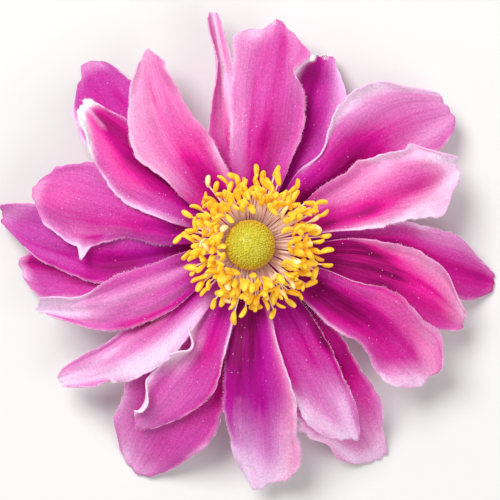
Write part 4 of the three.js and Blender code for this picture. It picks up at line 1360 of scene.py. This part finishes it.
class BLOOM_OT_stamens(bpy.types.Operator):
    """Adds the ring of stamens: thin filaments, and an anther on the end of each"""

    bl_idname = "bloom.add_stamens"
    bl_label = "Add stamens"

    def execute(self, context):
        sizes = context.scene.bloom_sizes
        colours = context.scene.bloom_colours
        lines = stamen_lines(sizes.stamens)
        self.add_filaments(lines, sizes, colours)
        self.add_anthers(lines, sizes, colours)
        return {"FINISHED"}

    def add_filaments(self, lines, sizes, colours):
        steps = len(lines[0])
        edges = [(i * steps + j, i * steps + j + 1) for i in range(len(lines)) for j in range(steps - 1)]
        piece = mesh_piece("filaments", np.concatenate(lines), edges=edges)
        keep_numbers(piece.data, "along", "FLOAT", np.tile(np.linspace(0, 1, steps), len(lines)))
        tree = filament_tree(filament_finish(colours))
        grow(piece, tree, {"Radius": sizes.filament_radius, "Sides": FILAMENT_SIDES})
        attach(piece, "root")
        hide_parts("stamens")

    def add_anthers(self, lines, sizes, colours):
        random = np.random.default_rng(SEEDS["anthers"])
        ends = np.array([line[-1] for line in lines])
        lengthwise = unit(np.array([line[-1] - line[-2] for line in lines]))
        aim = unit(lengthwise + random.normal(0, ANTHER_TILT, lengthwise.shape) * FLATTENED)
        piece = mesh_piece("anthers", ends + aim * sizes.anther_length / MM * ANTHER_SEAT)
        keep_numbers(piece.data, "aim", "FLOAT_VECTOR", aim)
        pattern = anther_shape(sizes)
        tree = anther_tree(anther_finish(colours), pattern)
        grow(piece, tree, {"Size": 1.0, "Spread": ANTHER_SPREAD, "Seed": SEEDS["anther sizes"]})
        bpy.data.objects.remove(pattern)
        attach(piece, "root")
        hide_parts("stamens")


class BLOOM_OT_carpels(bpy.types.Operator):
    """Adds the ball of carpels: a core covered all over with small domes"""

    bl_idname = "bloom.add_carpels"
    bl_label = "Add carpels"

    def execute(self, context):
        sizes = context.scene.bloom_sizes
        colours = context.scene.bloom_colours
        dome = sizes.carpel_radius
        radius = BALL_RADIUS * MM - dome * DOME_STRETCH
        centre = Vector((AXIS.x, AXIS.y, BALL_CENTRE * MM))
        piece = self.core(radius / MM)
        tree = carpel_tree(carpel_finish(colours, centre, radius))
        grow(piece, tree, {
            "Count": sizes.carpels, "Ball radius": radius, "Centre": centre, "Dome radius": dome,
            "Seed": SEEDS["carpels"]})
        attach(piece, "root")
        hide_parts("carpel_head")
        return {"FINISHED"}

    def core(self, radius):
        """The ball under the domes."""
        up = math.pi * np.arange(1, BALL_RINGS)[:, None] / BALL_RINGS
        ball = rings_around(radius * np.sin(up), -radius * np.cos(up), turns(BALL_SIDES))
        points, faces = closed_rings(ball, (0, 0, -radius), (0, 0, radius))
        return mesh_piece("carpels", points + [0, 0, BALL_CENTRE], faces)


class BLOOM_OT_stem(bpy.types.Operator):
    """Adds the cut stalk with its ribs and hairs, and the receptacle that it widens into"""

    bl_idname = "bloom.add_stem"
    bl_label = "Add stalk"

    def execute(self, context):
        sizes = context.scene.bloom_sizes
        colours = context.scene.bloom_colours
        piece = self.stalk()
        piece.data.materials.append(stem_finish(colours))
        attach(piece, "root")
        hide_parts("stem")
        self.add_hairs(sizes, colours)
        return {"FINISHED"}

    def stalk(self):
        """The stalk and the receptacle as one body, turned from the line and smoothed along it."""
        height = np.linspace(0, SEAT, STALK_ROWS)
        height[1] = STALK_BEVEL
        radius = np.interp(height, *STALK_LINE.T)
        radius[3:-3] = np.convolve(radius, np.ones(3) / 3, "same")[3:-3]
        turn = turns(STALK_SIDES)
        fade = smoothstep(height, 0, RIB_FADE) * (1 - smoothstep(height, FLARE, SHOULDER))
        ribs = RIB_HEIGHT * (np.cos(STALK_RIBS * turn) - 1)
        ribs = ribs + FINE_RIB_HEIGHT * np.cos(FINE_STALK_RIBS * turn + 1)
        rings = rings_around(radius[:, None] + fade[:, None] * ribs, height[:, None], turn)
        return mesh_piece("stalk", *closed_rings(rings, (0, 0, 0), (0, 0, SEAT)))

    def add_hairs(self, sizes, colours):
        random = np.random.default_rng(SEEDS["stalk hairs"])
        turn = random.uniform(0, 2 * math.pi, STALK_HAIRS)
        height = random.uniform(*STALK_HAIR_HEIGHTS, STALK_HAIRS)
        places = rings_around(STALK_RADIUS - HAIR_SINK, height, turn)
        aims = rings_around(1, STALK_HAIR_RISE, turn)
        aims = aims + random.normal(0, STALK_HAIR_STRAY, (STALK_HAIRS, 3))
        add_hair_piece(
            "stalk_hairs", places, aims, sizes.stalk_hair_length, sizes.hair_radius, colours.hair)


class BLOOM_OT_hairs(bpy.types.Operator):
    """Adds the silky white hairs along the margins of the petals, and the tufts at some tips"""

    bl_idname = "bloom.add_hairs"
    bl_label = "Add margin hairs"

    def execute(self, context):
        sizes = context.scene.bloom_sizes
        colours = context.scene.bloom_colours
        random = np.random.default_rng(SEEDS["margin hairs"])
        margins = [margin_points(tepal, lift, sizes, random) for tepal, lift in LAID]
        tufts = [tuft_points(tuft, sizes, random) for tuft in TUFTS]
        for name, found, length, radius, colour in (
                ("margin_hairs", margins, sizes.hair_length, sizes.hair_radius, colours.hair),
                ("tip_tufts", tufts, sizes.tuft_length, sizes.tuft_radius, colours.wool)):
            places, aims = (np.concatenate(part) for part in zip(*found))
            add_hair_piece(name, places, aims, length, radius, colour)
        return {"FINISHED"}


class BLOOM_OT_droplets(bpy.types.Operator):
    """Scatters fine beads of dew and pollen over the upper faces of the petals"""

    bl_idname = "bloom.add_droplets"
    bl_label = "Add droplets"

    def execute(self, context):
        sizes = context.scene.bloom_sizes
        random = np.random.default_rng(SEEDS["droplets"])
        first, last = DROPLET_ROWS
        places = []
        for tepal, lift in LAID:
            grid = petal_surface(tepal, lift, sizes)[0]
            share = random.beta(*DROPLET_CROWDING, sizes.droplets)
            rows = (share * (last - first)).astype(int) + first
            columns = random.integers(*DROPLET_COLUMNS, sizes.droplets)
            places.append(grid[rows, columns] + [0, 0, sizes.thickness / MM / 2 + DROPLET_LIFT])
        piece = mesh_piece("droplets", np.concatenate(places))
        tree = droplet_tree(droplet_finish(context.scene.bloom_colours))
        grow(piece, tree, {"Radius": sizes.droplet_radius, "Seed": SEEDS["droplet sizes"]})
        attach(piece, "root")
        return {"FINISHED"}


class BLOOM_OT_stage(bpy.types.Operator):
    """Adds the plain pale floor, the soft studio light and the camera above the flower"""

    bl_idname = "bloom.add_stage"
    bl_label = "Add stage"

    def execute(self, context):
        scene = context.scene
        settings = scene.bloom_stage
        self.add_floor(scene)
        self.add_camera(scene, settings)
        self.add_lamp(scene, "key_light", KEY_PLACE, KEY_WIDTH, settings.key_power)
        self.add_lamp(scene, "fill_light", FILL_PLACE, FILL_WIDTH, settings.fill_power)
        scene.world = bpy.data.worlds.new("studio")
        scene.world.use_nodes = True
        sky = scene.world.node_tree.nodes["Background"]
        sky.inputs["Color"].default_value = (1.0, 1.0, 1.0, 1.0)
        sky.inputs["Strength"].default_value = settings.sky
        scene.view_settings.view_transform = "Standard"
        return {"FINISHED"}

    def add_floor(self, scene):
        made = Finish("floor", roughness=0.8)
        made.feed("Base Color", opaque(scene.bloom_colours.floor))
        mesh = bpy.data.meshes.new("floor")
        corners = [(x * FLOOR_HALF, y * FLOOR_HALF, 0) for x, y in ((-1, -1), (1, -1), (1, 1), (-1, 1))]
        mesh.from_pydata(corners, [], [(0, 1, 2, 3)])
        mesh.materials.append(made.material)
        floor = bpy.data.objects.new("floor", mesh)
        scene.collection.objects.link(floor)

    def add_camera(self, scene, settings):
        data = bpy.data.cameras.new("camera")
        data.sensor_width = SENSOR_WIDTH
        data.lens = SENSOR_WIDTH * (settings.camera_height - PETAL_HEIGHT) / settings.view_width
        data.clip_start = 0.01
        camera = bpy.data.objects.new("camera", data)
        camera.location = (AXIS.x, AXIS.y - settings.axis_offset, settings.camera_height)
        scene.collection.objects.link(camera)
        scene.camera = camera

    def add_lamp(self, scene, name, place, width, power):
        data = bpy.data.lights.new(name, "AREA")
        data.shape = "DISK"
        data.size = width
        data.energy = power
        lamp = bpy.data.objects.new(name, data)
        lamp.location = place
        lamp.rotation_euler = (-Vector(place)).to_track_quat("-Z", "Y").to_euler()
        scene.collection.objects.link(lamp)


class BLOOM_PT_sidebar(bpy.types.Panel):
    """Lists the steps that build the bloom"""

    bl_idname = "BLOOM_PT_sidebar"
    bl_label = "Japanese anemone"
    bl_space_type = "VIEW_3D"
    bl_region_type = "UI"
    bl_category = "Anemone"

    def draw(self, context):
        for operator in OPERATORS:
            self.layout.operator(operator.bl_idname)
        for group in (getattr(context.scene, name) for name in GROUPS):
            box = self.layout.box()
            for name in group.bl_rna.properties.keys():
                if name not in {"rna_type", "name"}:
                    box.prop(group, name)


OPERATORS = (
    BLOOM_OT_stage, BLOOM_OT_petals, BLOOM_OT_stamens, BLOOM_OT_carpels, BLOOM_OT_stem, BLOOM_OT_hairs,
    BLOOM_OT_droplets,
)
GROUPS = {"bloom_sizes": BloomSizes, "bloom_colours": BloomColours, "bloom_stage": StageSettings}


def register():
    for kind in (*GROUPS.values(), *OPERATORS, BLOOM_PT_sidebar):
        bpy.utils.register_class(kind)
    for name, kind in GROUPS.items():
        setattr(bpy.types.Scene, name, PointerProperty(type=kind))


def unregister():
    for name in GROUPS:
        delattr(bpy.types.Scene, name)
    for kind in (BLOOM_PT_sidebar, *OPERATORS, *GROUPS.values()):
        bpy.utils.unregister_class(kind)


def main():
    register()
    bpy.ops.bloom.add_stage()
    bpy.ops.bloom.add_petals()
    bpy.ops.bloom.add_stamens()
    bpy.ops.bloom.add_carpels()
    bpy.ops.bloom.add_stem()
    bpy.ops.bloom.add_hairs()
    bpy.ops.bloom.add_droplets()
    bpy.context.view_layer.update()


if __name__ == "__main__":
    main()
